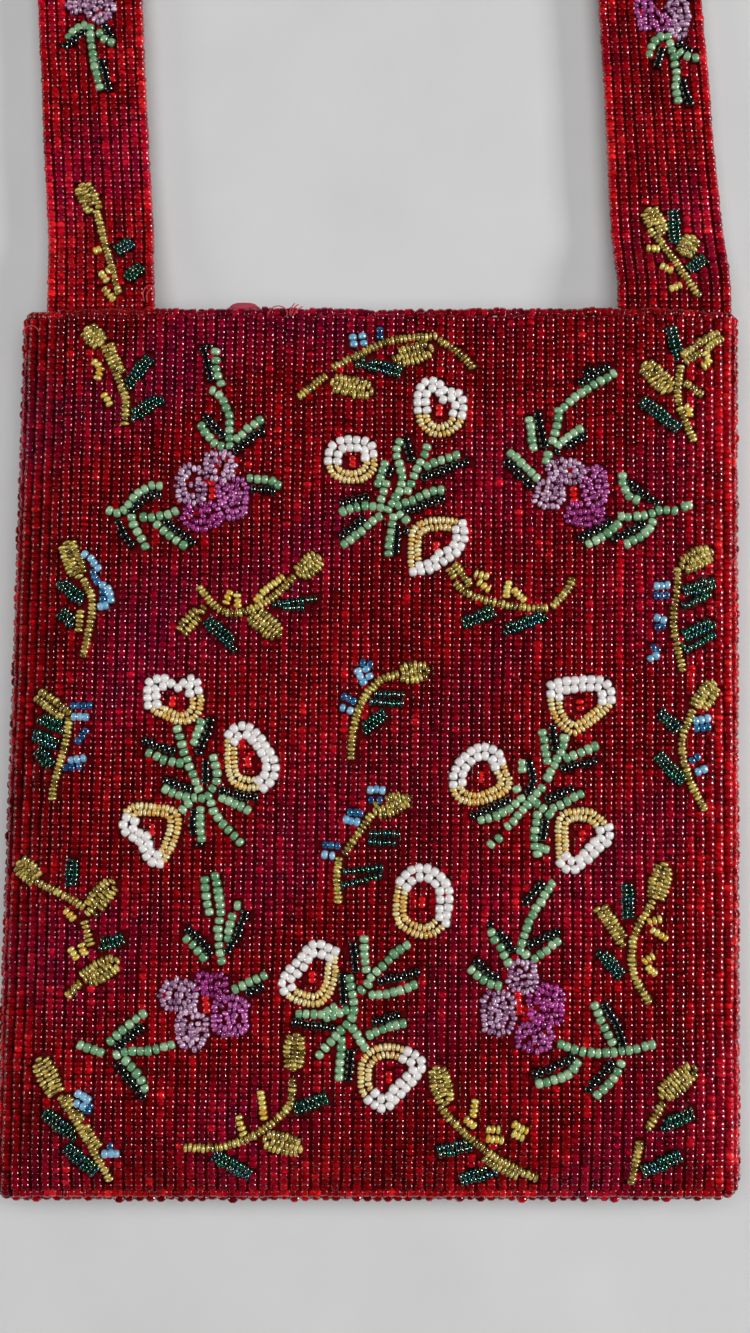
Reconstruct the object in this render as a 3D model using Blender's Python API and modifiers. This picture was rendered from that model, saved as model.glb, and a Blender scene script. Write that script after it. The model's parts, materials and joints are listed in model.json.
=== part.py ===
"""A beaded shoulder bag that lies on its back, modelled in metres.

X runs across the bag, Y from its foot to its mouth, and Z out of its face.
The origin is the centre of the back panel's underside. The strap starts at
the mouth and lies on the same surface, beyond the bag.
"""
import math

import bmesh
import bpy
from mathutils import Vector

# Driving dimensions of the bag
BAG_WIDTH = 0.160
BAG_HEIGHT = 0.192
BEADWORK = 0.0024
STRING_PITCH = 0.0022
STRING_COUNT = 69
STRING_GROOVE = 0.0007
LINING = 0.0004
CLEARANCE = 0.0003
POCKET_HEIGHT = 0.0045
EDGE_HEIGHT = 0.0034
EDGE_RISE = 0.016
SEAM_WIDTH = 0.0024
SEAM_ROUND = 0.0009
CORNER_ROUND = 0.0045
LINING_INSET = 0.0006
LINING_TURN_IN = 0.0012

# Driving dimensions of the strap
STRAP_WIDTH = 0.0245
STRAP_BEADWORK = 0.0022
STRAP_BACKING = 0.0005
BACKING_INSET = 0.0010
STRAP_INSET = 0.00355
STRAP_SHIFT = 0.0015
STRAP_REACH = 0.290
STRAP_LEAN = 0.0055
HINGE_REACH = 0.0070
DESCENT = 0.0150
TAB = 0.0018
TAB_INSET = 0.0030
TAB_DEPTH = 0.0140

# Driving dimensions of the bead strings that are sewn on
GREEN_BEAD = 0.0019
GOLD_BEAD = 0.0017
BRANCH_SHARE = 0.93
STRING_STEP = 0.00005
TULIP_INNER_RING = 0.0031
TULIP_OUTER_RING = 0.0047
VIOLET_INNER_RING = 0.0027
VIOLET_OUTER_RING = 0.0046
VIOLET_LOBE = 0.0009
VIOLET_LOBES = 4
RING_POINTS = 10
FLOWER_POINTS = 12
STRAP_MOTIF_COUNT = 7
FIRST_MOTIF = 0.0160

# The panel's corners in the photograph, in its pixels
TOP_ROW = 316
FOOT_ROW = 1202
LEFT_AT_TOP = 25
RIGHT_AT_TOP = 737
LEFT_AT_FOOT = -5
RIGHT_AT_FOOT = 739

# How finely the curved sheets are divided
FOOT_ROW_SHARES = (0.0, 0.3, 1.0)
MOUTH_ROW_SHARES = (1.0, 0.4, 0.0)
PANEL_COLUMNS = 18
PANEL_ROWS = 16
LEG_STEPS = 14
CROWN_STEPS = 20

# Sizes that follow from those above
MOUTH = BAG_HEIGHT / 2
FOOT = -BAG_HEIGHT / 2
BACK_HALF = BAG_WIDTH / 2 - SEAM_WIDTH - CLEARANCE
BACK_FOOT = FOOT + SEAM_WIDTH + CLEARANCE
EDGE_Z = BEADWORK + EDGE_HEIGHT
LINING_Z = BEADWORK + CLEARANCE
POCKET_Z = LINING_Z + LINING
CROWN_Z = POCKET_Z + POCKET_HEIGHT + LINING + CLEARANCE
EDGE_LEAN = BEADWORK * math.sin(math.atan(2.0 * (CROWN_Z - EDGE_Z) / EDGE_RISE))
PANEL_HALF = BACK_HALF - EDGE_LEAN
PANEL_FOOT = BACK_FOOT + EDGE_LEAN
TAB_Z = POCKET_Z + CLEARANCE
HINGE_Y = MOUTH + HINGE_REACH
HINGE_Z = TAB_Z + TAB + CLEARANCE / 2
STRAP_Z = STRAP_BACKING + CLEARANCE
LEG_SPAN = BAG_WIDTH - 2 * STRAP_INSET - STRAP_WIDTH
CROWN_RADIUS = LEG_SPAN / 2
CROWN_Y = MOUTH + STRAP_REACH - CROWN_RADIUS - STRAP_WIDTH / 2
LEG_LENGTH = CROWN_Y - HINGE_Y
STRAP_LENGTH = 2 * LEG_LENGTH + math.pi * CROWN_RADIUS

# Colours of the materials
WINE = (0.150, 0.006, 0.012)
DARK_WINE = (0.090, 0.005, 0.010)
RED_EDGE = (0.330, 0.012, 0.020)
SATIN = (0.550, 0.050, 0.080)
WHITE = (0.800, 0.760, 0.720)
VIOLET = (0.260, 0.080, 0.260)
GOLD = (0.380, 0.270, 0.040)

# Tulip sprays, in the photograph's pixels: three heads, then the stems, the main one first
TULIP_SPRAYS = {
    "tulip_spray_top": (
        [(439, 408), (352, 459), (438, 548)],
        [[(401, 440), (401, 472), (388, 500), (390, 532), (388, 562)],
         [(436, 425), (428, 446), (414, 479), (396, 492)],
         [(460, 455), (428, 467), (414, 479)],
         [(440, 491), (410, 500), (388, 508)],
         [(364, 470), (380, 488), (388, 500)],
         [(343, 513), (366, 506), (388, 508)],
         [(345, 542), (366, 528), (386, 516)],
         [(425, 537), (405, 518), (390, 512)]],
    ),
    "tulip_spray_left": (
        [(172, 700), (252, 757), (153, 834)],
        [[(176, 715), (189, 765), (203, 795)],
         [(149, 753), (179, 762), (189, 765)],
         [(207, 722), (193, 744), (186, 755)],
         [(238, 763), (221, 775), (206, 790)],
         [(162, 784), (190, 798), (203, 795)],
         [(238, 806), (218, 799), (203, 795)],
         [(166, 825), (188, 808), (203, 795)],
         [(204, 840), (203, 795)],
         [(240, 843), (203, 795)]],
    ),
    "tulip_spray_right": (
        [(581, 705), (482, 775), (583, 842)],
        [[(572, 718), (557, 758), (540, 785), (535, 807)],
         [(543, 731), (547, 761), (545, 775)],
         [(594, 748), (569, 758), (557, 760)],
         [(495, 785), (520, 800), (535, 807)],
         [(491, 845), (510, 826), (535, 807)],
         [(537, 853), (535, 807)],
         [(570, 832), (548, 812), (535, 807)],
         [(581, 797), (556, 800), (540, 803)],
         [(519, 762), (530, 785), (535, 800)]],
    ),
    "tulip_spray_bottom": (
        [(423, 905), (308, 966), (392, 1078)],
        [[(416, 922), (390, 962), (370, 981), (345, 1035), (339, 1080)],
         [(414, 983), (392, 988), (368, 990)],
         [(404, 1023), (375, 1028), (350, 1030)],
         [(362, 937), (366, 968), (368, 985)],
         [(320, 980), (340, 1003), (360, 1004)],
         [(300, 1014), (325, 1018), (350, 1020)],
         [(380, 1066), (360, 1045), (347, 1033)]],
    ),
}

# Violet sprays: the flower's centre, then the stems and leaves
VIOLET_SPRAYS = {
    "violet_spray_upper_left": (
        (213, 489),
        [[(216, 354), (214, 389), (230, 411), (230, 445), (220, 475)],
         [(202, 428), (221, 445), (229, 447)],
         [(259, 422), (239, 440), (231, 444)],
         [(281, 486), (257, 479), (225, 484)],
         [(110, 509), (134, 519), (158, 517), (202, 498)],
         [(166, 487), (141, 492), (128, 516)],
         [(147, 550), (138, 535), (132, 519)],
         [(184, 547), (165, 533), (152, 519)]],
    ),
    "violet_spray_upper_right": (
        (576, 493),
        [[(616, 372), (581, 394), (561, 409), (552, 440), (566, 482)],
         [(528, 422), (533, 444), (553, 446)],
         [(580, 430), (561, 443), (553, 445)],
         [(511, 452), (535, 475), (562, 488)],
         [(688, 507), (646, 514), (620, 518), (588, 500)],
         [(621, 475), (627, 496), (640, 514)],
         [(626, 548), (646, 537), (650, 514)],
         [(588, 543), (606, 530), (612, 514)]],
    ),
    "violet_spray_lower_left": (
        (205, 1010),
        [[(206, 879), (218, 910), (219, 935), (222, 958), (210, 998)],
         [(187, 939), (204, 956), (220, 957)],
         [(240, 905), (232, 932), (221, 950)],
         [(268, 978), (246, 986), (217, 1004)],
         [(80, 1046), (102, 1053), (143, 1053), (172, 1045), (196, 1020)],
         [(143, 1013), (120, 1030), (112, 1052)],
         [(147, 1092), (133, 1072), (125, 1054)]],
    ),
    "violet_spray_lower_right": (
        (521, 1005),
        [[(553, 882), (540, 903), (528, 918), (522, 949), (520, 992)],
         [(492, 930), (506, 960), (521, 962)],
         [(556, 942), (535, 959), (522, 962)],
         [(470, 967), (492, 985), (510, 1000)],
         [(654, 1045), (615, 1051), (583, 1054), (556, 1043), (532, 1014)],
         [(597, 1007), (608, 1030), (614, 1051)],
         [(538, 1086), (565, 1077), (583, 1054)],
         [(597, 1094), (615, 1078), (618, 1051)]],
    ),
}

# Gold sprigs: the stem from its looped leaf to its foot, then each leaf or berry with its outer end first
GOLD_SPRIGS = {
    "corner_sprig_upper_left": [
        [(88, 331), (96, 345), (108, 360), (118, 385), (124, 421)],
        [(152, 353), (126, 388)], [(167, 396), (124, 420)], [(99, 368), (112, 370)], [(106, 400), (121, 398)]],
    "top_sprig": [
        [(337, 366), (360, 350), (401, 338), (440, 338), (475, 367)],
        [(300, 399), (326, 377), (337, 366)], [(373, 395), (350, 390), (334, 370)],
        [(433, 360), (410, 354), (398, 339)], [(404, 374), (380, 369), (360, 351)], [(358, 338), (366, 348)]],
    "corner_sprig_upper_right": [
        [(719, 334), (685, 362), (680, 380), (678, 400), (690, 440)],
        [(664, 328), (683, 363)], [(639, 402), (685, 430)], [(641, 362), (679, 398)],
        [(708, 361), (690, 360)], [(696, 388), (679, 388)]],
    "side_sprig_left_upper": [
        [(70, 545), (82, 576), (92, 598), (93, 622), (84, 656)],
        [(94, 559), (80, 571)], [(107, 596), (91, 597)], [(60, 582), (90, 603)], [(62, 612), (93, 626)]],
    "side_sprig_left_lower": [
        [(45, 697), (70, 724), (61, 758), (52, 797)],
        [(82, 712), (69, 723)], [(81, 740), (66, 738)], [(36, 722), (66, 742)], [(37, 752), (61, 760)]],
    "inner_sprig_left": [
        [(322, 557), (293, 581), (264, 601), (233, 615), (206, 605), (196, 585)],
        [(182, 632), (207, 606)], [(281, 637), (240, 613)], [(318, 604), (285, 606), (270, 598)],
        [(236, 650), (212, 608)], [(266, 584), (266, 600)], [(230, 598), (230, 613)]],
    "inner_sprig_right": [
        [(463, 581), (475, 593), (496, 605), (525, 608), (549, 607), (575, 580)],
        [(463, 622), (500, 606)], [(503, 636), (545, 608)], [(486, 582), (484, 598)], [(514, 591), (514, 607)]],
    "side_sprig_right_upper": [
        [(705, 556), (675, 576), (671, 613), (681, 668)],
        [(658, 592), (673, 594)], [(656, 622), (672, 622)], [(714, 588), (673, 602)], [(712, 630), (674, 642)]],
    "side_sprig_right_lower": [
        [(708, 683), (685, 729), (683, 763), (702, 807)],
        [(703, 724), (687, 726)], [(700, 768), (685, 766)], [(657, 712), (684, 740)], [(657, 756), (686, 772)]],
    "centre_sprig_upper": [
        [(428, 670), (378, 680), (359, 710), (350, 757)],
        [(362, 670), (372, 686)], [(344, 705), (358, 712)], [(404, 700), (368, 696)], [(388, 716), (355, 730)]],
    "centre_sprig_lower": [
        [(409, 798), (370, 815), (345, 850), (337, 898)],
        [(372, 793), (378, 810)], [(350, 818), (364, 824)], [(397, 837), (356, 836)], [(381, 870), (342, 868)]],
    "low_sprig_left": [
        [(19, 862), (44, 886), (80, 906), (88, 925), (92, 978)],
        [(72, 858), (70, 900)], [(126, 936), (90, 952)], [(114, 878), (84, 912)],
        [(68, 995), (92, 978)], [(119, 962), (92, 976)], [(72, 921), (86, 920)]],
    "low_sprig_right": [
        [(664, 862), (661, 903), (632, 935), (632, 985), (646, 1000)],
        [(597, 908), (632, 940)], [(627, 882), (636, 930)], [(597, 950), (632, 974)],
        [(655, 928), (640, 926)], [(648, 965), (633, 965)]],
    "corner_sprig_lower_left": [
        [(40, 1058), (48, 1082), (80, 1124), (109, 1180)],
        [(42, 1112), (84, 1132)], [(66, 1148), (100, 1164)], [(84, 1099), (66, 1106)], [(112, 1148), (96, 1154)]],
    "foot_sprig_left": [
        [(296, 1037), (291, 1099), (262, 1131), (242, 1144), (187, 1147)],
        [(327, 1095), (288, 1103)], [(301, 1150), (262, 1132)], [(213, 1176), (236, 1145)],
        [(258, 1102), (276, 1116)], [(238, 1122), (252, 1138)]],
    "foot_sprig_right": [
        [(432, 1068), (438, 1104), (467, 1133), (491, 1155), (535, 1177)],
        [(436, 1157), (472, 1138)], [(458, 1184), (504, 1162)], [(472, 1110), (457, 1123)],
        [(498, 1133), (484, 1148)]],
    "corner_sprig_lower_right": [
        [(695, 1067), (658, 1092), (641, 1141), (634, 1179)],
        [(692, 1112), (646, 1128)], [(680, 1154), (638, 1164)]],
}

# A motif on the strap, as shares of the strap's width from its middle, the bag's side down
STRAP_SPRIG_SHARES = [
    [(-0.18, 0.52), (-0.10, 0.28), (0.02, 0.05), (0.10, -0.20), (0.12, -0.52)],
    [(0.32, 0.02), (0.08, -0.12)],
    [(0.36, -0.20), (0.10, -0.38)],
    [(-0.12, -0.14), (0.05, -0.06)],
    [(-0.06, -0.36), (0.10, -0.34)],
]
STRAP_VIOLET_SHARES = [
    [(0.00, 0.28), (0.00, -0.10), (0.04, -0.46)],
    [(-0.20, -0.02), (0.00, 0.10)],
    [(0.20, -0.06), (0.00, 0.04)],
]
STRAP_VIOLET_CENTRE_SHARE = 0.34
STRAP_VIOLET_RING_SHARE = 0.12


def clear_scene():
    for thing in list(bpy.data.objects):
        bpy.data.objects.remove(thing)


def new_collection(name):
    collection = bpy.data.collections.new(name)
    bpy.context.scene.collection.children.link(collection)
    return collection


def material(name, colour, roughness):
    made = bpy.data.materials.new(name)
    made.use_nodes = True
    shader = made.node_tree.nodes["Principled BSDF"]
    shader.inputs["Base Color"].default_value = (*colour, 1.0)
    shader.inputs["Roughness"].default_value = roughness
    shader.inputs["Metallic"].default_value = 0.0
    return made


def finish(thing, collection, colour):
    """Puts a piece in its collection and gives it its material."""
    for old in list(thing.users_collection):
        old.objects.unlink(thing)
    collection.objects.link(thing)
    thing.data.materials.clear()
    thing.data.materials.append(colour)
    return thing


def eased(share):
    """A rise that is steep at its start and level at its end."""
    share = min(1.0, max(0.0, share))
    return share * (2.0 - share)


def smooth(share):
    """A rise that is level at both ends."""
    share = min(1.0, max(0.0, share))
    return share * share * (3.0 - 2.0 * share)


def face_inside(x, y):
    """Height of the front panel's inner side, which swells between its closed edges."""
    side = eased((PANEL_HALF - abs(x)) / EDGE_RISE)
    foot = eased((y - PANEL_FOOT) / EDGE_RISE)
    return EDGE_Z + (CROWN_Z - EDGE_Z) * side * foot


def face_slope(x, y):
    """How much the panel's inner side climbs for each metre across it."""
    step = CLEARANCE
    across = (face_inside(x + step, y) - face_inside(x - step, y)) / (2 * step)
    along = (face_inside(x, y + step) - face_inside(x, y - step)) / (2 * step)
    return math.hypot(across, along)


def face_outside(x, y):
    return face_inside(x, y) + BEADWORK * math.sqrt(1.0 + face_slope(x, y) ** 2)


def from_photo(pixel):
    """A place on the bag for a pixel of the photograph, whose foot is nearer the camera."""
    column, row = pixel
    share = (row - TOP_ROW) / (FOOT_ROW - TOP_ROW)
    left = LEFT_AT_TOP + (LEFT_AT_FOOT - LEFT_AT_TOP) * share
    right = RIGHT_AT_TOP + (RIGHT_AT_FOOT - RIGHT_AT_TOP) * share
    nearness = (RIGHT_AT_FOOT - LEFT_AT_FOOT) / (RIGHT_AT_TOP - LEFT_AT_TOP)
    down = share * nearness / (1.0 - share + share * nearness)
    across = (column - left) / (right - left)
    return (across - 0.5) * BAG_WIDTH, MOUTH - down * BAG_HEIGHT


def drawn_in(x, y, half, low, high):
    """Rounds a sheet's four corners by drawing the points in them towards the middle."""
    past_x = abs(x) - (half - CORNER_ROUND)
    past_y = max(low + CORNER_ROUND - y, y - (high - CORNER_ROUND))
    if past_x <= 0.0 or past_y <= 0.0:
        return x, y
    longest = max(past_x, past_y)
    shrink = longest / math.hypot(past_x, past_y)
    new_x = math.copysign(half - CORNER_ROUND + past_x * shrink, x)
    if y > (low + high) / 2:
        return new_x, high - CORNER_ROUND + past_y * shrink
    return new_x, low + CORNER_ROUND - past_y * shrink


def spread(share):
    """Sets a sheet's lines of faces closer together towards its edges, for a share from -1 to 1."""
    return 0.5 * share + 0.5 * math.sin(0.5 * math.pi * share)


def sheet(name, half, low, high, height, thickness, outward):
    """A sheet of faces over a rectangle, raised by a height function and then thickened."""
    bpy.ops.mesh.primitive_grid_add(x_subdivisions=PANEL_COLUMNS, y_subdivisions=PANEL_ROWS, size=2)
    thing = bpy.context.object
    thing.name = name
    middle = (low + high) / 2
    for vertex in thing.data.vertices:
        x = half * spread(vertex.co.x)
        y = middle + (high - low) / 2 * spread(vertex.co.y)
        x, y = drawn_in(x, y, half, low, high)
        vertex.co = Vector((x, y, height(x, y)))
    thicken = thing.modifiers.new("Thickness", "SOLIDIFY")
    thicken.thickness = thickness
    thicken.offset = 1.0 if outward else -1.0
    return thing


def ribbed_face(name):
    """The front panel: a rib down its outside for each string of beads, and a groove between two ribs."""
    valleys = [(i - STRING_COUNT / 2) * STRING_PITCH for i in range(STRING_COUNT + 1)]
    crests = [valley + STRING_PITCH / 2 for valley in valleys[:-1]]
    columns = sorted([-PANEL_HALF, PANEL_HALF, *valleys, *crests])
    rows = [PANEL_FOOT + share * EDGE_RISE for share in FOOT_ROW_SHARES]
    rows += [MOUTH - share * CORNER_ROUND for share in MOUTH_ROW_SHARES]
    mesh = bpy.data.meshes.new(name)
    thing = bpy.data.objects.new(name, mesh)
    bpy.context.scene.collection.objects.link(thing)
    shape = bmesh.new()
    corners = []
    for row in rows:
        for column in columns:
            x, y = drawn_in(column, row, PANEL_HALF, PANEL_FOOT, MOUTH)
            corners.append(shape.verts.new((x, y, face_inside(x, y))))
    width = len(columns)
    for i in range(len(rows) - 1):
        for k in range(width - 1):
            first = i * width + k
            square = [first, first + 1, first + 1 + width, first + width]
            shape.faces.new([corners[place] for place in square])
    shape.to_mesh(mesh)
    shape.free()
    groove = thing.vertex_groups.new(name="Ribs")
    for i in range(len(rows)):
        for k, column in enumerate(columns):
            depth = STRING_GROOVE if column in valleys else 0.0
            groove.add([i * width + k], 1.0 - depth / BEADWORK, "REPLACE")
    thicken = thing.modifiers.new("Thickness", "SOLIDIFY")
    thicken.thickness = BEADWORK
    thicken.offset = 1.0
    thicken.vertex_group = groove.name
    return thing


def rounded_bar(name, low, high):
    """A long bar between two corners with its four long edges rounded."""
    bpy.ops.mesh.primitive_cube_add(size=1)
    thing = bpy.context.object
    thing.name = name
    low = Vector(low)
    high = Vector(high)
    for vertex in thing.data.vertices:
        vertex.co = Vector([low[i] + (high[i] - low[i]) * (vertex.co[i] + 0.5) for i in range(3)])
    rounding = thing.modifiers.new("Rounded edges", "BEVEL")
    rounding.width = SEAM_ROUND
    rounding.segments = 2
    return thing


def make_panels(parts):
    wine = material("wine_beadwork", WINE, 0.25)
    dark = material("back_beadwork", DARK_WINE, 0.28)
    finish(ribbed_face("front_panel"), parts, wine)
    back = sheet("back_panel", BACK_HALF, BACK_FOOT, MOUTH, lambda x, y: 0.0, BEADWORK, True)
    finish(back, parts, dark)


def make_linings(parts):
    satin = material("satin_lining", SATIN, 0.35)
    half = PANEL_HALF - LINING_INSET
    low = PANEL_FOOT + LINING_INSET
    high = MOUTH - LINING_TURN_IN
    front = sheet("lining_front", half, low, high, under_face, LINING, False)
    finish(front, parts, satin)
    back = sheet("lining_back", half, low, high, lambda x, y: LINING_Z, LINING, True)
    finish(back, parts, satin)


def under_face(x, y):
    """Height of the front lining's upper side, a clearance under the panel measured square to it."""
    return face_inside(x, y) - CLEARANCE * math.sqrt(1.0 + face_slope(x, y) ** 2)


def make_seams(parts):
    """The beaded rolls that close the bag's two sides and its foot."""
    red = material("edge_beads", RED_EDGE, 0.25)
    top = EDGE_Z + BEADWORK - CLEARANCE
    for side, name in ((-1, "side_seam_left"), (1, "side_seam_right")):
        inner = side * (BAG_WIDTH / 2 - SEAM_WIDTH)
        outer = side * BAG_WIDTH / 2
        roll = rounded_bar(name, (min(inner, outer), BACK_FOOT, CLEARANCE), (max(inner, outer), MOUTH, top))
        finish(roll, parts, red)
    half = BAG_WIDTH / 2
    foot = rounded_bar("foot_seam", (-half, FOOT, CLEARANCE), (half, FOOT + SEAM_WIDTH, top))
    finish(foot, parts, red)


def leg_x(side, reach):
    """Where a leg's middle line lies across the bag, a distance beyond the hinge, with the strap's lean."""
    return side * LEG_SPAN / 2 + STRAP_SHIFT - STRAP_LEAN * eased(reach / LEG_LENGTH)


def strap_drop(distance):
    """How far the strap's underside still is above its resting height, a distance from either end."""
    start = HINGE_Z - CLEARANCE / 2 - STRAP_BEADWORK - STRAP_Z
    return start * (1.0 - smooth(distance / DESCENT))


def strap_point(travel):
    """The strap's middle line, a distance from its left end, with its direction across and its lift."""
    crown_travel = travel - LEG_LENGTH
    crown_length = math.pi * CROWN_RADIUS
    from_end = min(travel, STRAP_LENGTH - travel)
    lift = strap_drop(from_end)
    if 0.0 < crown_travel < crown_length:
        turn = crown_travel / CROWN_RADIUS
        centre = Vector((STRAP_SHIFT - STRAP_LEAN, CROWN_Y))
        outward = Vector((-math.cos(turn), math.sin(turn)))
        return centre + outward * CROWN_RADIUS, outward, lift
    side = -1 if crown_travel <= 0.0 else 1
    point = Vector((leg_x(side, from_end), HINGE_Y + from_end))
    return point, Vector((side, 0.0)), lift


def strap_travels():
    """Distances along the strap at which its faces are cut, closer together where it drops from the mouth."""
    drop_steps = LEG_STEPS // 2
    start = CLEARANCE / 2
    drops = [start + (DESCENT - start) * i / drop_steps for i in range(drop_steps)]
    legs = [DESCENT + (LEG_LENGTH - DESCENT) * i / LEG_STEPS for i in range(LEG_STEPS)]
    leg = drops + legs
    crown = [LEG_LENGTH + math.pi * CROWN_RADIUS * i / CROWN_STEPS for i in range(CROWN_STEPS + 1)]
    return leg + crown + [STRAP_LENGTH - travel for travel in reversed(leg)]


def band(name, width, base, thickness):
    """A strip along the strap's route, made as a flat grid whose points are laid along it, then thickened."""
    travels = strap_travels()
    bpy.ops.mesh.primitive_grid_add(x_subdivisions=len(travels) - 1, y_subdivisions=2, size=2)
    thing = bpy.context.object
    thing.name = name
    for vertex in thing.data.vertices:
        row = round((vertex.co.x + 1.0) / 2.0 * (len(travels) - 1))
        point, outward, lift = strap_point(travels[row])
        place = point + outward * (vertex.co.y * width / 2)
        vertex.co = Vector((place.x, place.y, base + lift))
    thicken = thing.modifiers.new("Thickness", "SOLIDIFY")
    thicken.thickness = thickness
    thicken.offset = 1.0
    return thing


def make_strap(parts):
    wine = material("strap_beadwork", WINE, 0.25)
    satin = material("strap_satin", SATIN, 0.35)
    finish(band("strap", STRAP_WIDTH, STRAP_Z, STRAP_BEADWORK), parts, wine)
    finish(band("strap_backing", STRAP_WIDTH - 2 * BACKING_INSET, 0.0, STRAP_BACKING), parts, satin)


def flat_outline(name, points, base, thickness):
    """A flat piece with a given outline, standing on a base height."""
    curve = bpy.data.curves.new(name, "CURVE")
    curve.dimensions = "2D"
    curve.fill_mode = "BOTH"
    curve.extrude = thickness / 2
    spline = curve.splines.new("POLY")
    spline.points.add(len(points) - 1)
    spline.use_cyclic_u = True
    for place, point in zip(spline.points, points):
        place.co = (*point, 0.0, 1.0)
    thing = bpy.data.objects.new(name, curve)
    thing.location.z = base + thickness / 2
    return thing


def make_tabs(parts):
    """The strap's two ends: as wide as the strap outside the mouth, and narrower where they are sewn in."""
    cloth = material("tab_cloth", DARK_WINE, 0.6)
    wide = STRAP_WIDTH / 2
    narrow = wide - TAB_INSET
    inner_end = MOUTH - TAB_DEPTH
    shoulder = MOUTH + CLEARANCE
    outer_end = HINGE_Y - CLEARANCE / 2
    for side, name in ((-1, "strap_tab_left"), (1, "strap_tab_right")):
        middle = leg_x(side, 0.0)
        half = [(narrow, inner_end), (narrow, shoulder), (wide, shoulder), (wide, outer_end)]
        right = [(middle + across, along) for across, along in half]
        left = [(middle - across, along) for across, along in reversed(half)]
        finish(flat_outline(name, right + left, TAB_Z, TAB), parts, cloth)


def string_mesh(name, paths, bead):
    """Bead strings as one mesh of tubes. A path is its points and whether it closes on itself."""
    curve = bpy.data.curves.new(name, "CURVE")
    curve.dimensions = "3D"
    curve.bevel_depth = bead / 2
    curve.bevel_resolution = 0
    curve.use_fill_caps = True
    for points, closed in paths:
        spline = curve.splines.new("POLY")
        spline.points.add(len(points) - 1)
        spline.use_cyclic_u = closed
        for place, point in zip(spline.points, points):
            place.co = (*point, 1.0)
    thing = bpy.data.objects.new(name + "_curve", curve)
    bpy.context.scene.collection.objects.link(thing)
    graph = bpy.context.evaluated_depsgraph_get()
    mesh = bpy.data.meshes.new_from_object(thing.evaluated_get(graph))
    bpy.data.objects.remove(thing)
    weld_caps(mesh)
    made = bpy.data.objects.new(name, mesh)
    bpy.context.scene.collection.objects.link(made)
    return made


def weld_caps(mesh):
    work = bmesh.new()
    work.from_mesh(mesh)
    bmesh.ops.remove_doubles(work, verts=work.verts, dist=CLEARANCE / 100)
    bmesh.ops.recalc_face_normals(work, faces=work.faces)
    work.to_mesh(mesh)
    work.free()


def on_face(place, bead):
    """A point on the bag's face, for the middle of a bead string that is sewn there."""
    x, y = place
    return Vector((x, y, face_outside(x, y) + CLEARANCE + bead / 2))


def on_strap(place, bead):
    """A point on the strap's face, which drops from the mouth to the surface that it lies on."""
    lift = strap_drop(max(0.0, place[1] - HINGE_Y))
    return Vector((place[0], place[1], STRAP_Z + STRAP_BEADWORK + lift + CLEARANCE + bead / 2))


def laid(string, closed, settle, bead):
    """A string's points on the surface under it, with more where that surface bends."""
    places = [Vector(place) for place in string]
    if closed:
        places.append(places[0])
    points = [settle(places[0], bead)]
    for start, end in zip(places, places[1:]):
        points += followed(start, end, settle, bead)
    if closed:
        points.pop()
    return points


def followed(start, end, settle, bead):
    """The points that a straight run of a string needs after its start to stay clear of what is under it."""
    middle = (start + end) / 2
    sag = settle(middle, bead).z - (settle(start, bead).z + settle(end, bead).z) / 2
    if abs(sag) < CLEARANCE / 3:
        return [settle(end, bead)]
    return followed(start, middle, settle, bead) + followed(middle, end, settle, bead)


def ring(centre, radius, lobe, lobes, count):
    """Points round a flower, whose radius swells at each lobe."""
    points = []
    for i in range(count):
        angle = 2 * math.pi * i / count
        reach = radius + lobe * math.cos(lobes * angle)
        points.append((centre[0] + reach * math.cos(angle), centre[1] + reach * math.sin(angle)))
    return points


def nearest_on(place, strings):
    """The point nearest to a place on any of the strings."""
    place = Vector(place)
    found = None
    for string in strings:
        for start, end in zip(string, string[1:]):
            start = Vector(start)
            run = Vector(end) - start
            share = min(1.0, max(0.0, (place - start).dot(run) / run.dot(run)))
            point = start + run * share
            if found is None or (point - place).length < (found - place).length:
                found = point
    return found


def spray(name, strings, rings, bead, settle, parts, cutters, colour):
    """One body of bead strings: the main stem, joined with all that branches from it."""
    stem = laid(strings[0], False, settle, bead)
    node = string_mesh(name, [(stem, False)], bead)
    carriers = [strings[0]] + [points + points[:1] for points in rings]
    flat = [(points, True) for points in rings]
    for string in strings[1:]:
        rooted = string[:-1] + [nearest_on(string[-1], carriers)]
        carriers.append(rooted)
        flat.append((rooted, False))
    others = []
    for i, (places, closed) in enumerate(flat):
        step = Vector((0.0, 0.0, STRING_STEP * (i + 1)))
        others.append(([point + step for point in laid(places, closed, settle, bead)], closed))
    branches = string_mesh(name + "_branches", others, bead * BRANCH_SHARE)
    branches.hide_render = True
    branches.display_type = "WIRE"
    for old in list(branches.users_collection):
        old.objects.unlink(branches)
    cutters.objects.link(branches)
    join = node.modifiers.new("Branches", "BOOLEAN")
    join.operation = "UNION"
    join.solver = "EXACT"
    join.use_self = True
    join.object = branches
    finish(node, parts, colour)


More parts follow.
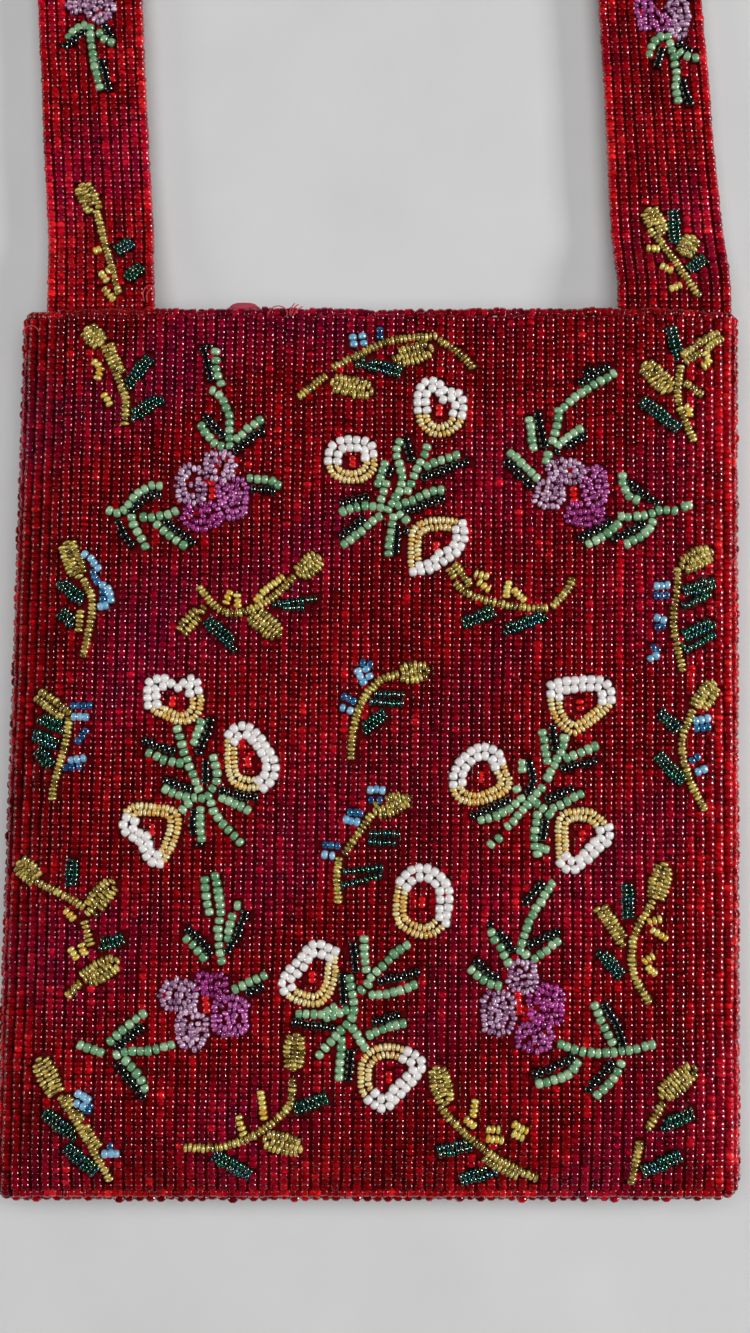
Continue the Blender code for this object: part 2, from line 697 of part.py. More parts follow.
def make_sprays(parts, cutters):
    """The raised flowers on the face."""
    white = material("tulip_beads", WHITE, 0.3)
    violet = material("violet_beads", VIOLET, 0.2)
    gold = material("gold_beads", GOLD, 0.2)
    for name, (heads, strings) in TULIP_SPRAYS.items():
        rings = []
        for head in heads:
            centre = from_photo(head)
            rings.append(ring(centre, TULIP_INNER_RING, 0.0, 0, RING_POINTS))
            rings.append(ring(centre, TULIP_OUTER_RING, 0.0, 0, RING_POINTS))
        places = [[from_photo(pixel) for pixel in string] for string in strings]
        spray(name, places, rings, GREEN_BEAD, on_face, parts, cutters, white)
    for name, (flower, strings) in VIOLET_SPRAYS.items():
        centre = from_photo(flower)
        rings = [ring(centre, VIOLET_INNER_RING, 0.0, 0, RING_POINTS),
                 ring(centre, VIOLET_OUTER_RING, VIOLET_LOBE, VIOLET_LOBES, FLOWER_POINTS)]
        places = [[from_photo(pixel) for pixel in string] for string in strings]
        spray(name, places, rings, GREEN_BEAD, on_face, parts, cutters, violet)
    for name, strings in GOLD_SPRIGS.items():
        places = [[from_photo(pixel) for pixel in string] for string in strings]
        spray(name, places, [], GOLD_BEAD, on_face, parts, cutters, gold)


def motif_place(shares, travel):
    """A place on the strap: shares of its width across it and along it, towards its crown, from a point on it."""
    across, along = shares
    sign = 1 if travel <= STRAP_LENGTH / 2 else -1
    point, outward, lift = strap_point(travel + sign * along * STRAP_WIDTH)
    return point + outward * (-sign * across * STRAP_WIDTH)


def make_strap_motifs(parts, cutters):
    """Sprigs and violets by turns along both legs, upright from the bag to the crown, and one on the crown."""
    violet = material("strap_violet_beads", VIOLET, 0.2)
    gold = material("strap_gold_beads", GOLD, 0.2)
    step = (STRAP_LENGTH / 2 - FIRST_MOTIF) / STRAP_MOTIF_COUNT
    for side in ("left", "right"):
        for i in range(STRAP_MOTIF_COUNT):
            travel = FIRST_MOTIF + i * step
            if side == "right":
                travel = STRAP_LENGTH - travel
            if i % 2 == 0:
                strap_sprig(f"strap_sprig_{side}_{i // 2 + 1}", travel, parts, cutters, gold)
            else:
                strap_violet(f"strap_violet_{side}_{i // 2 + 1}", travel, parts, cutters, violet)
    strap_violet("strap_violet_crown", STRAP_LENGTH / 2, parts, cutters, violet)


def strap_sprig(name, travel, parts, cutters, colour):
    places = [[motif_place(shares, travel) for shares in string] for string in STRAP_SPRIG_SHARES]
    spray(name, places, [], GOLD_BEAD, on_strap, parts, cutters, colour)


def strap_violet(name, travel, parts, cutters, colour):
    places = [[motif_place(shares, travel) for shares in string] for string in STRAP_VIOLET_SHARES]
    centre = motif_place((0.0, STRAP_VIOLET_CENTRE_SHARE), travel)
    rings = [ring(centre, STRAP_VIOLET_RING_SHARE * STRAP_WIDTH, 0.0, 0, RING_POINTS)]
    spray(name, places, rings, GREEN_BEAD, on_strap, parts, cutters, colour)


def hang_strap(parts):
    """Hangs all that swings with the strap from an empty on the hinge line at the mouth."""
    hinge = bpy.data.objects.new("strap_hinge_line", None)
    hinge.location = (0.0, HINGE_Y, HINGE_Z)
    parts.objects.link(hinge)
    bpy.context.view_layer.update()
    for thing in parts.objects:
        if thing.name.startswith("strap") and "tab" not in thing.name and thing != hinge:
            thing.parent = hinge
            thing.matrix_parent_inverse = hinge.matrix_world.inverted()


def main():
    clear_scene()
    parts = new_collection("beaded_shoulder_bag")
    cutters = new_collection("cutters")
    make_panels(parts)
    make_linings(parts)
    make_seams(parts)
    make_strap(parts)
    make_tabs(parts)
    make_sprays(parts, cutters)
    make_strap_motifs(parts, cutters)
    hang_strap(parts)


main()
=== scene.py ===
"""Looks of a beaded shoulder bag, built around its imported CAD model.

The bag lies on its back on pale cloth and the camera looks down on it.
All beadwork is made of strings: a string is a line of points on the face, on
the back, round an edge or along the strap, with small glass beads threaded
on it. All sizes are in metres.
"""
import json
import math
from collections import namedtuple

import bpy
import numpy as np
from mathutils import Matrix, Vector


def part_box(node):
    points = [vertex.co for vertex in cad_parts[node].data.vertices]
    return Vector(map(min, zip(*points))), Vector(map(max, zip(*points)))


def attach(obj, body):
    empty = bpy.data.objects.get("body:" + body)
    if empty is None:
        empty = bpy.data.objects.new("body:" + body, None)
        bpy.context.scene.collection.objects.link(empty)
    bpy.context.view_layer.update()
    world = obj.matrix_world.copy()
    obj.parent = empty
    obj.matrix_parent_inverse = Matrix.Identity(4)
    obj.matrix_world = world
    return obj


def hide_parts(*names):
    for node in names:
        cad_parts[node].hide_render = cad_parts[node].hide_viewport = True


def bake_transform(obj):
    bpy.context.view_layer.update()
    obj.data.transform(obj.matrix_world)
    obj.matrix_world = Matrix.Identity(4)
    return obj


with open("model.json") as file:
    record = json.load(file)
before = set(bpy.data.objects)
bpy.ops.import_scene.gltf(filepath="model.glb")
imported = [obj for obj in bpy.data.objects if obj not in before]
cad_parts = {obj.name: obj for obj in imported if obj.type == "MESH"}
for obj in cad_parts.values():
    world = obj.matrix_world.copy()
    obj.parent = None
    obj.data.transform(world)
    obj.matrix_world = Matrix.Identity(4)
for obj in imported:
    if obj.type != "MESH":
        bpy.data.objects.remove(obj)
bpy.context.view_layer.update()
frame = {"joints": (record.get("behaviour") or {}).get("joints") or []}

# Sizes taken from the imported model
FACE_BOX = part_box("front_panel")
HINGE = next(j for j in frame["joints"] if j["name"] == "strap_swing")["pos_m"]
MOUTH = FACE_BOX[1].y
CROWN_TOP = FACE_BOX[1].z

# The crowned face: how high its edge is, how far in from the edge it rises, and its soft swells
EDGE_TOP = 0.0082
EDGE_RISE = 0.0160
PANEL_HALF = 0.0765
PANEL_FOOT = -0.0925
FACE_SWELL = 0.00028
FACE_SWELL_WIDTH = 0.045

# Random swells: how many waves they are made of, and about how high those add up
WAVE_COUNT = 7
WAVE_SUM = 3.6

# The rounded shell that the strings lie on: a flat back, the face and round sides
RED_RADIUS = 0.00098
FLAT_HALF = 0.0752
SIDE_BULGE = 0.0034
SIDE_ARC = 0.0108
FLAT_FOOT = -0.0924
STRAIGHT = MOUTH - FLAT_FOOT
FOOT_BULGE = 0.0027
FOOT_ARC = 0.0045
MIDDLE_Z = 0.0041
BACK_Z = 0.0010
BAG_LEAN = 0.0015

# Strings: how far apart they are, how far they stray, and how many lie on each part
PITCH = 0.0022
WOBBLE = 0.00014
SMALL_WOBBLE = 0.00012
WOBBLE_WIDTH = 0.03
FACE_STRINGS = 34
EDGE_STRINGS = 39
BACK_STRINGS = 34
BACK_HALF = 0.0736
STRAP_STRINGS = 5
FACE_PARTS = 5
BACK_PARTS = 4

# The camera, which looks down from above the middle of the bag
PHOTO_WIDTH = 750
PHOTO_HEIGHT = 1333
LENS = 40.0
SENSOR = 36.0
CAMERA_PLACE = (0.0002, -0.0067, 0.3292)
CAMERA_TILT = math.radians(4.4)

# The strap's centre line, from the hinge on the left to the hinge on the right, its width, the
# height of its bead middles, which rise towards the hinge, and how far its beads reach into the mouth
LEG_X = 0.0642
CROWN_RADIUS = 0.0642
CROWN_Y = 0.30955
STRAP_SHIFT = 0.0015
STRAP_LEAN = 0.0055
BAG_LEAN_REACH = 0.12
LEG_LENGTH = CROWN_Y - HINGE[1]
STRAP_LENGTH = 2 * LEG_LENGTH + math.pi * CROWN_RADIUS
STRAP_WIDTH = 0.0245
STRAP_HEIGHT = 0.0020
HINGE_LIFT = 0.0025
DESCENT = 0.0150
STRAP_START = -0.0095
STRAP_SWELL = 0.00018
STRAP_SWELL_WIDTH = 0.028

# The strap spreads a little where it comes down to the mouth on the right
FLARE = 0.07
FLARE_REACH = 0.06

# Glints: the colours that a bead's highlights take, picked at random
PALE = [(1.0, 1.0, 1.0)]
ROSY = [(1.0, 0.76, 0.77), (0.96, 0.62, 0.65), (0.86, 0.48, 0.52), (1.0, 0.88, 0.88), (0.42, 0.18, 0.21)]
OILY = [(0.40, 1.0, 0.72), (0.45, 0.78, 1.0), (0.95, 1.0, 0.70), (1.0, 0.96, 0.96)]
HONEY = [(1.0, 0.95, 0.70), (1.0, 0.90, 0.95), (0.85, 1.0, 0.70), (1.0, 1.0, 0.9)]

# Beads: radius, length and pitch on the string, how far they stand over the red ones, two colours,
# how strong the painted glow is that stands in for light running unevenly through their glass, and their
# glints
Bead = namedtuple("Bead", "radius length pitch rise colour other depth glints")
BEADS = {
    "white": Bead(0.00104, 0.00176, 0.00176, 0.00045, (0.82, 0.77, 0.75), (0.91, 0.87, 0.85), 0.03, PALE),
    "mint": Bead(0.00106, 0.00158, 0.00164, 0.00045, (0.115, 0.30, 0.14), (0.37, 0.58, 0.34), 0.10, PALE),
    "black": Bead(0.00116, 0.00132, 0.00137, 0.0005, (0.001, 0.0014, 0.0014), (0.003, 0.004, 0.004), 0, PALE),
    "teal": Bead(0.00096, 0.00092, 0.00096, 0.00042, (0.001, 0.006, 0.005), (0.004, 0.03, 0.022), 0.6, OILY),
    "gold": Bead(0.00098, 0.00090, 0.00094, 0.00040, (0.140, 0.074, 0.006), (0.66, 0.45, 0.10), 0.65, HONEY),
    "amber": Bead(0.00084, 0.00090, 0.00093, 0.00040, (0.72, 0.36, 0.055), (0.91, 0.71, 0.35), 0.34, PALE),
    "yellow": Bead(0.00092, 0.00100, 0.00104, 0.00055, (0.80, 0.40, 0.03), (0.91, 0.70, 0.18), 0.35, HONEY),
    "sky": Bead(0.00094, 0.00140, 0.00142, 0.00046, (0.15, 0.44, 0.72), (0.34, 0.62, 0.86), 0.10, PALE),
    "navy": Bead(0.00090, 0.00130, 0.00134, 0.00040, (0.008, 0.045, 0.16), (0.03, 0.12, 0.30), 0.4, OILY),
    "lilac": Bead(0.00074, 0.00092, 0.00096, 0.00038, (0.19, 0.05, 0.15), (0.68, 0.42, 0.60), 0.45, PALE),
    "magenta": Bead(0.00074, 0.00092, 0.00096, 0.00038, (0.19, 0.006, 0.09), (0.46, 0.05, 0.29), 0.45, PALE),
    "violet": Bead(0.00074, 0.00092, 0.00096, 0.00038, (0.21, 0.015, 0.13), (0.50, 0.11, 0.36), 0.45, PALE),
    "ruby": Bead(0.00096, 0.00131, 0.00131, -0.00008, (0.50, 0.002, 0.004), (0.80, 0.012, 0.012), 0.40, ROSY),
}

# The plain red bead, which takes its colours from the steps below
RED = Bead(RED_RADIUS, 0.00131, 0.00131, 0.0, None, None, 0.42, ROSY)

# How unevenly beads sit on a string, as shares of their size, and how far they turn
UNEVEN_PLACE = 0.03
UNEVEN_RADIUS = 0.045
UNEVEN_LENGTH = 0.06
TURN_SIDEWAYS = 0.10
TURN_UP = 0.08
ROLL = 0.09

# Reds from the darkest wine to the brightest red
RED_STEPS = [0.0, 0.25, 0.5, 0.75, 1.0]
RED_COLOURS = [
    (0.090, 0.0002, 0.0010),
    (0.148, 0.0004, 0.0018),
    (0.235, 0.0009, 0.0030),
    (0.460, 0.0040, 0.0060),
    (0.820, 0.0180, 0.0160),
]

# How bright the reds of each part are, from 0 to 1. The face's rise towards its sides: the side, the
# string where a rise starts, over how many strings, and by how much
FACE_RED = 0.235
FACE_RED_RISES = [(1, 20, 14, 0.07), (1, 32, 3, 0.28), (-1, 33, 4, 0.06)]
MOUTH_RED = 0.34
LACE_REDS = {-1: 0.36, 1: 0.52}
FOOT_RED = 0.36
BACK_RED = 0.28
STRAP_RED = 0.36
STRAP_EDGE_RED = 0.24

# How much the reds change along a string, over the bag and from bead to bead, the few bright beads,
# and the most purple in them
# The reds differ at random as the beads' own glass does; their brightest stretches and beads are also painted
# glow, standing in for light focused inside the glass
ALONG_STRING = 0.19
OVER_BAG = 0.08
BEAD_TO_BEAD = 0.09
BRIGHT_BEAD = 0.16
BRIGHT_FROM = 0.94
PURPLE = 0.010

# Beads shorter than this many times their radius are rounder at their ends
SHORT_BEAD = 1.35

# Painted shade: how dark beads are painted low on their sides, where they shade each other, how much darker
# they are painted at their ends, and the brightest colour
RED_PAINTED_SHADE = 0.50
SEWN_PAINTED_SHADE = 0.20
END_PAINTED_SHADE = 0.30
BRIGHTEST = 0.92

# A tulip's rows: how far apart they are, and how near its middle they may come
ROW_GAP = 0.00195
AMBER_GAP = 0.00168
ROW_LEAST = 0.00135

# A leaf's strings: their gap in bead radii, close or wide, how much shorter the outer ones of three
# are, and how far they bow
LEAF_CLOSE = 1.55
LEAF_WIDE = 1.95
LEAF_SHORT = 0.09
LEAF_BOW = 0.24

# A violet's petals: how much wider than their box, the most rings in one, their gap in bead radii,
# how four-cornered they are, and how loosely they lie
PETAL_SPREAD = 1.22
PETAL_RINGS = 4
PETAL_GAP = 1.9
PETAL_CORNERS = 0.10
PETAL_SLACK = 0.36

# A bead is left out where its middle is nearer to that of a sewn-on bead than this share of both
# radii: a bead of the same motif, or a red bead
MOTIF_CLEARING = 0.56
RED_CLEARING = 0.54

# The beads that lace a side edge: their pitch, how far they stand out and where they lie on its arc
LACE_PITCH = 0.00186
LACE_RISE = 0.00042
LACE_SHARES = (0.24, 0.40, 0.56)

# The seam along the foot: how far round the foot its two strings lie and how bright they are, and
# where the beads over its edge start and end
FOOT_STRINGS = ((0.42, 0.50), (0.97, 0.34))
FOOT_STITCH = (0.56, 0.86)

# How far round the foot the strings of the face and of the sides reach
FACE_FOOT_REACH = 0.18
SIDE_FOOT_REACH = 0.88

# Sheets: their thickness, how far the cloths lie under the bead middles, and their places in the bag
CLOTH_THICKNESS = 0.00025
BACK_CLOTH_THICKNESS = 0.00022
SATIN_THICKNESS = 0.00030
BACKING_THICKNESS = 0.00038
CLOTH_BELOW = RED_RADIUS + 0.0001
BEAD_AND_CLOTH = 0.0024
CLOTH_START = 0.0006
BACK_CLOTH_HALF = 0.0762
BACK_CLOTH_FOOT = -0.0930
BACK_CLOTH_HEIGHT = 0.00228
LINING_HALF = 0.0752
LINING_FOOT = -0.0915
LINING_MOUTH = 0.0946
BACK_LINING_HEIGHT = 0.00308
FRONT_RIPPLE = 0.00012
BACK_RIPPLE = 0.00010
STRAP_CLOTH_HALF = 0.0115
STRAP_CLOTH_EXTRA = 0.006
BACKING_GAP = 0.00042
TAB_HALF = 0.0092
TAB_START = -0.0200
TAB_END = -0.0080
TAB_HEIGHT = 0.00375
BEND_HALF = 0.004

# The place where the front lining peeks out over the mouth: its middle and half width, where it
# begins and over what height it grows, and how far it rises over the mouth and bulges
PEEK_ACROSS = -0.0302
PEEK_HALF = 0.0046
PEEK_FROM = 0.080
PEEK_TALL = 0.015
PEEK_RISE = 0.0040
PEEK_BULGE = 0.0006

# Sewing threads, and the cloth that the bag lies on
THREAD_RADIUS = 0.00012
THREAD_SIDES = 6
THREAD_LIFT = 0.0012
FLOOR_SIZE = 3.0
FLOOR_POINTS = 161
FLOOR_CROWDING = 2.2
FLOOR_LEVEL = -0.0022
FLOOR_FOLDS = 0.0010
FLOOR_THICKNESS = 0.002

# Lamps: name, place, width, height, power and whether the glass mirrors it
LAMPS = [
    ("right_window", (1.10, 0.05, 0.54), 0.36, 0.26, 9.0, True),
    ("left_window", (-1.10, 0.05, 0.54), 0.36, 0.26, 2.2, True),
    ("overhead", (0, 0.1, 1.5), 1.9, 1.9, 25.0, False),
]
LAMP_TARGET = (0, 0, 0.01)

# The surround's strength as light, and as the camera sees it
ROOM_LIGHT = 0.012
ROOM_SEEN = 0.86

# Threaded beads, one row of each array for each bead
Row = namedtuple("Row", "centre along outward radius length colour glint depth")


def eased(share):
    """Rises from 0 to 1, steeply at first."""
    share = np.clip(share, 0.0, 1.0)
    return share * (2.0 - share)


def smooth(share):
    """Rises from 0 to 1, slowly at both ends."""
    share = np.clip(share, 0.0, 1.0)
    return share * share * (3.0 - 2.0 * share)


def unit(vectors):
    """The same directions with a length of one."""
    return vectors / np.maximum(np.linalg.norm(vectors, axis=-1, keepdims=True), 1e-12)


def waves(across, up, width, seed):
    """A smooth random height, about -1 to 1, with swells of about this width."""
    chance = np.random.default_rng(seed)
    total = np.zeros(np.broadcast(across, up).shape)
    for _ in range(WAVE_COUNT):
        angle, phase = chance.uniform(0, 2 * math.pi, 2)
        size = width * chance.uniform(0.6, 1.6)
        total = total + np.sin((across * math.cos(angle) + up * math.sin(angle)) * 2 * math.pi / size + phase)
    return total / WAVE_SUM


# Shape of the bag

def lean(up):
    """How far the bag's outline is pushed sideways at this height, as in the photograph."""
    return BAG_LEAN * np.clip(up / MOUTH, -1.0, 1.0)


def face_height(across, up):
    """Height of the face's outside over the floor, before the bag's lean."""
    side = eased((PANEL_HALF - np.abs(across)) / EDGE_RISE)
    foot = eased((up - PANEL_FOOT) / EDGE_RISE)
    swell = FACE_SWELL * waves(across, up, FACE_SWELL_WIDTH, 11) * side * foot
    return EDGE_TOP + (CROWN_TOP - EDGE_TOP) * side * foot + swell


def shell(across, down):
    """Middle of a red bead, this far across from the middle string and below the mouth."""
    across, down = np.broadcast_arrays(np.asarray(across, float), np.asarray(down, float))
    side = np.sign(across)
    reach = np.abs(across)
    bend = np.clip((reach - FLAT_HALF) / SIDE_ARC, 0.0, 1.0) * math.pi
    foot_bend = np.clip((down - STRAIGHT) / FOOT_ARC, 0.0, 1.0) * math.pi / 2
    rounding = 1.0 / np.maximum(1.0, np.hypot(np.sin(bend), np.sin(foot_bend)))
    x = side * (np.minimum(reach, FLAT_HALF) + SIDE_BULGE * np.sin(bend) * rounding)
    y = MOUTH - np.minimum(down, STRAIGHT) - FOOT_BULGE * np.sin(foot_bend) * rounding
    top = face_height(np.clip(x, -FLAT_HALF, FLAT_HALF), np.maximum(y, FLAT_FOOT)) - RED_RADIUS
    turn = np.cos(bend) * np.cos(foot_bend)
    z = MIDDLE_Z + np.where(turn > 0, top - MIDDLE_Z, MIDDLE_Z - BACK_Z) * turn
    return np.stack([x + lean(y), y, z], axis=-1)


def shell_outward(across, down):
    """Direction out of the shell at this place."""
    step = 0.0002
    right = shell(across + step, down) - shell(across - step, down)
    below = shell(across, down + step) - shell(across, down - step)
    return unit(np.cross(below, right))


# Shape of the strap

def strap_height(reach):
    """Height of the strap's bead middles, this far beyond the hinge."""
    return STRAP_HEIGHT + HINGE_LIFT * (1.0 - smooth(reach / DESCENT))


def strap_swell(x, y):
    """How much the strap swells up at a place."""
    return STRAP_SWELL * (1.0 + waves(x, y, STRAP_SWELL_WIDTH, 31))


def strap_line(travel):
    """Centre line of the strap: points and the directions to its outer edge."""
    travel = np.asarray(travel, float)
    left = travel <= LEG_LENGTH
    right = travel >= STRAP_LENGTH - LEG_LENGTH
    side = np.where(travel > STRAP_LENGTH / 2, 1.0, -1.0)
    reach = np.where(side < 0, travel, STRAP_LENGTH - travel)
    shift = STRAP_SHIFT - STRAP_LEAN * eased(reach / LEG_LENGTH)
    shift = shift + BAG_LEAN * (1.0 - smooth(reach / BAG_LEAN_REACH))
    turn = np.clip((travel - LEG_LENGTH) / CROWN_RADIUS, 0.0, math.pi)
    on_leg = left | right
    x = np.where(on_leg, side * LEG_X, -CROWN_RADIUS * np.cos(turn)) + shift
    y = np.where(on_leg, HINGE[1] + reach, CROWN_Y + CROWN_RADIUS * np.sin(turn))
    z = strap_height(reach)
    outward = np.stack([np.where(on_leg, side, -np.cos(turn)), np.where(on_leg, 0.0, np.sin(turn))], axis=-1)
    return np.stack([x, y, z], axis=-1), outward


def strap_point(travel, offset):
    """A place on the strap, this far along it and towards its outer edge."""
    centre, outward = strap_line(travel)
    flare = 1.0 + FLARE * smooth((travel - STRAP_LENGTH + FLARE_REACH) / FLARE_REACH)
    point = centre.copy()
    point[..., :2] += outward * (offset * flare)[..., None]
    point[..., 2] += strap_swell(point[..., 0], point[..., 1])
    return point


# The camera's view of the two surfaces

def rays(pixels):
    """Directions of the camera's rays through these pixels of the photograph."""
    pixels = np.asarray(pixels, float)
    focal = LENS / SENSOR * PHOTO_HEIGHT
    x = (pixels[:, 0] - PHOTO_WIDTH / 2) / focal
    y = -(pixels[:, 1] - PHOTO_HEIGHT / 2) / focal
    up = y * math.cos(CAMERA_TILT) + math.sin(CAMERA_TILT)
    down = y * math.sin(CAMERA_TILT) - math.cos(CAMERA_TILT)
    return np.stack([x, up, down], axis=-1)


def seen_at(pixels, height_at):
    """Where the rays through these pixels meet a surface of this height."""
    ray = rays(pixels)
    start = np.array(CAMERA_PLACE)
    height = np.full(len(ray), 0.008)
    for _ in range(5):
        point = start + ray * ((start[2] - height) / -ray[:, 2])[:, None]
        height = height_at(point[:, 0], point[:, 1])
    return np.column_stack([point[:, :2], height])


def face_middle(x, y):
    """Height of the face's red bead middles under a point."""
    return face_height(x - lean(y), y) - RED_RADIUS


def strap_middle(x, y):
    """Height of the strap's red bead middles under a point."""
    return strap_height(y - HINGE[1]) + strap_swell(x, y)


# Threading beads

def softened(points, rounds=2):
    """The points of a line with its corners cut."""
    points = np.asarray(points, float)
    for _ in range(rounds):
        if len(points) < 3:
            return points
        first = 0.75 * points[:-1] + 0.25 * points[1:]
        second = 0.25 * points[:-1] + 0.75 * points[1:]
        middle = np.stack([first, second], axis=1).reshape(-1, points.shape[1])
        points = np.concatenate([points[:1], middle[1:-1], points[-1:]])
    return points


def square_to(along, vectors):
    """The directions nearest to these vectors that are square to the string."""
    return unit(vectors - along * np.sum(vectors * along, axis=1, keepdims=True))


def threaded(path, outward, bead, chance, colours, slack=0.05):
    """Beads of one kind along a path, with small differences between them."""
    steps = np.linalg.norm(np.diff(path, axis=0), axis=1)
    travel = np.concatenate([[0.0], np.cumsum(steps)])
    count = max(1, int(round(travel[-1] / bead.pitch)))
    places = (np.arange(count) + 0.5) * travel[-1] / count
    places = places + chance.normal(0.0, UNEVEN_PLACE * bead.pitch, count)

    def at(where, values):
        return np.stack([np.interp(where, travel, values[:, i]) for i in range(3)], axis=-1)

    near = bead.pitch * 0.5
    centre = at(places, path)
    along = unit(at(places + near, path) - at(places - near, path) + 1e-9)
    out = square_to(along, at(places, outward))
    side = np.cross(along, out)
    sideways = side * chance.normal(0, TURN_SIDEWAYS, (count, 1))
    along = unit(along + sideways + out * chance.normal(0, TURN_UP, (count, 1)))
    out = square_to(along, out + side * chance.normal(0, ROLL, (count, 1)))
    centre = centre + side * chance.normal(0, slack * bead.radius, (count, 1))
    centre = centre + out * chance.normal(0, slack * bead.radius, (count, 1))
    radius = bead.radius * chance.normal(1.0, UNEVEN_RADIUS, count)
    length = bead.length * chance.normal(1.0, UNEVEN_LENGTH, count)
    glint = np.array(bead.glints)[chance.integers(0, len(bead.glints), count)]
    return Row(centre, along, out, radius, length, colours(centre, chance), glint, np.full(count, bead.depth))


def joined(rows):
    """Several rows of beads as one."""
    return Row(*[np.concatenate(part) for part in zip(*rows)])


def reds(base, string_seed):
    """Colours for red beads: bright and dark stretches along a string, partly the beads' own tone and partly
    painted glow from light focused in the glass.
    """
    def colours(centre, chance):
        x, y = centre[:, 0], centre[:, 1]
        level = base + ALONG_STRING * waves(x * 3.0, y, 0.016, string_seed) + OVER_BAG * waves(x, y, 0.060, 5)
        level = level + chance.normal(0, BEAD_TO_BEAD, len(x))
        level = level + BRIGHT_BEAD * (chance.random(len(x)) > BRIGHT_FROM)
        red = [np.interp(level, RED_STEPS, [c[i] for c in RED_COLOURS]) for i in range(3)]
        red[2] = red[2] + PURPLE * np.clip(waves(x, y, 0.05, 77), 0, 1)
        return np.stack(red, axis=-1)
    return colours


def mixed(bead):
    """Colours for sewn-on beads: a random mix of the kind's two colours."""
    def colours(centre, chance):
        share = chance.random((len(centre), 1))
        return np.array(bead.colour) * (1 - share) + np.array(bead.other) * share
    return colours


# Meshes

def placed(mesh, material):
    """The mesh as a smooth object of the scene, in one material."""
    mesh.shade_smooth()
    mesh.materials.append(material)
    piece = bpy.data.objects.new(mesh.name, mesh)
    bpy.context.scene.collection.objects.link(piece)
    return piece


def tube_faces(sides, rings, first=0):
    """Faces of a closed tube whose corners lie ring after ring, from this corner on."""
    faces = []
    for a in range(first, first + (rings - 1) * sides):
        b = a + 1 if (a - first + 1) % sides else a + 1 - sides
        faces.append([a, a + sides, b + sides, b])
    last = first + rings * sides
    faces.append(list(range(first, first + sides)))
    faces.append(list(range(last - 1, last - sides - 1, -1)))
    return faces


def barrel(sides, rings, wide=1.0):
    """Corners and faces of a bead of radius 1 and half length 1 along Y, this much wider than high."""
    turn = (np.arange(sides) + 0.5) * 2 * math.pi / sides
    corners = [
        (math.cos(t) * radius * wide, along, math.sin(t) * radius) for along, radius in rings for t in turn
    ]
    return np.array(corners), tube_faces(sides, len(rings))


RED_BARREL = barrel(8, [(-1, 0.84), (-0.74, 0.95), (0, 1.0), (0.74, 0.95), (1, 0.84)], 1.15)
BACK_BARREL = barrel(8, [(-1, 0.80), (-0.6, 0.97), (0.6, 0.97), (1, 0.80)], 1.15)
BIG_RINGS = [(-1, 0.48), (-0.88, 0.78), (-0.5, 0.96), (0, 1.0), (0.5, 0.96), (0.88, 0.78), (1, 0.48)]
BIG_BARREL = barrel(12, BIG_RINGS)


def bead_colours(row, corners, darkest):
    """Colour and glint of every corner of the beads, with painted shade low on their sides and at their ends,
    and painted glow inside them.
    """
    count, size = len(row.centre), len(corners)
    # Painted shade: darker low on each bead's sides, where the beads shade each other
    shade = darkest + (1.0 - darkest) * smooth((corners[:, 2] + 0.25) / 1.05)
    # Painted shade: darker at each bead's ends, where it meets the next bead
    end = np.clip((np.abs(corners[:, 1]) - 0.7) / 0.3, 0, 1)
    shade = shade * (1.0 - END_PAINTED_SHADE * (1.0 - darkest) * end)
    chance = np.random.default_rng(count)
    tint = np.ones((count, size, 4))
    tint[..., 3] = chance.random(count)[:, None]
    # Painted glow: random brighter and darker spots inside each bead stand in for light running unevenly
    # through the glass
    inside = np.exp(row.depth[:, None] * chance.normal(0, 1, (count, size)))
    tint[..., :3] = np.minimum(row.colour[:, None] * (shade[None] * inside)[..., None], BRIGHTEST)
    glint = np.ones((count, size, 4))
    glint[..., :3] = row.glint[:, None]
    return {"tint": tint, "glint": glint}


def beads_object(name, row, shape, material, darkest=RED_PAINTED_SHADE):
    """One mesh object that holds all the beads of a row."""
    corners, faces = shape
    side = np.cross(row.along, row.outward)
    short = np.clip(1.0 - row.length / (SHORT_BEAD * row.radius), 0.0, 0.5)
    radius = (row.radius[:, None] * (1.0 - short[:, None] * np.abs(corners[None, :, 1]) ** 3))[..., None]
    points = (
        row.centre[:, None]
        + corners[None, :, 0:1] * side[:, None] * radius
        + corners[None, :, 1:2] * row.along[:, None] * row.length[:, None, None] / 2
        + corners[None, :, 2:3] * row.outward[:, None] * radius
    )
    count, size = len(row.centre), len(corners)
    loops = np.concatenate([np.array(face) for face in faces])
    lengths = np.array([len(face) for face in faces])
    all_loops = (loops[None] + np.arange(count)[:, None] * size).ravel()
    starts = np.concatenate([[0], np.cumsum(np.tile(lengths, count))[:-1]])
    mesh = bpy.data.meshes.new(name)
    mesh.vertices.add(count * size)
    mesh.vertices.foreach_set("co", points.astype(np.float32).ravel())
    mesh.loops.add(len(all_loops))
    mesh.loops.foreach_set("vertex_index", all_loops.astype(np.int32))
    mesh.polygons.add(len(starts))
    mesh.polygons.foreach_set("loop_start", starts.astype(np.int32))
    mesh.update(calc_edges=True)
    for key, values in bead_colours(row, corners, darkest).items():
        layer = mesh.attributes.new(key, "FLOAT_COLOR", "POINT")
        layer.data.foreach_set("color", values.astype(np.float32).ravel())
    return placed(mesh, material)


# Materials

def node_tree(owner):
    """The way to make nodes with some inputs set, and to link them, in a material or world."""
    owner.use_nodes = True

    def make(kind, values=()):
        node = owner.node_tree.nodes.new("ShaderNode" + kind)
        for name, value in dict(values).items():
            node.inputs[name].default_value = value
        return node

    return make, owner.node_tree.links.new


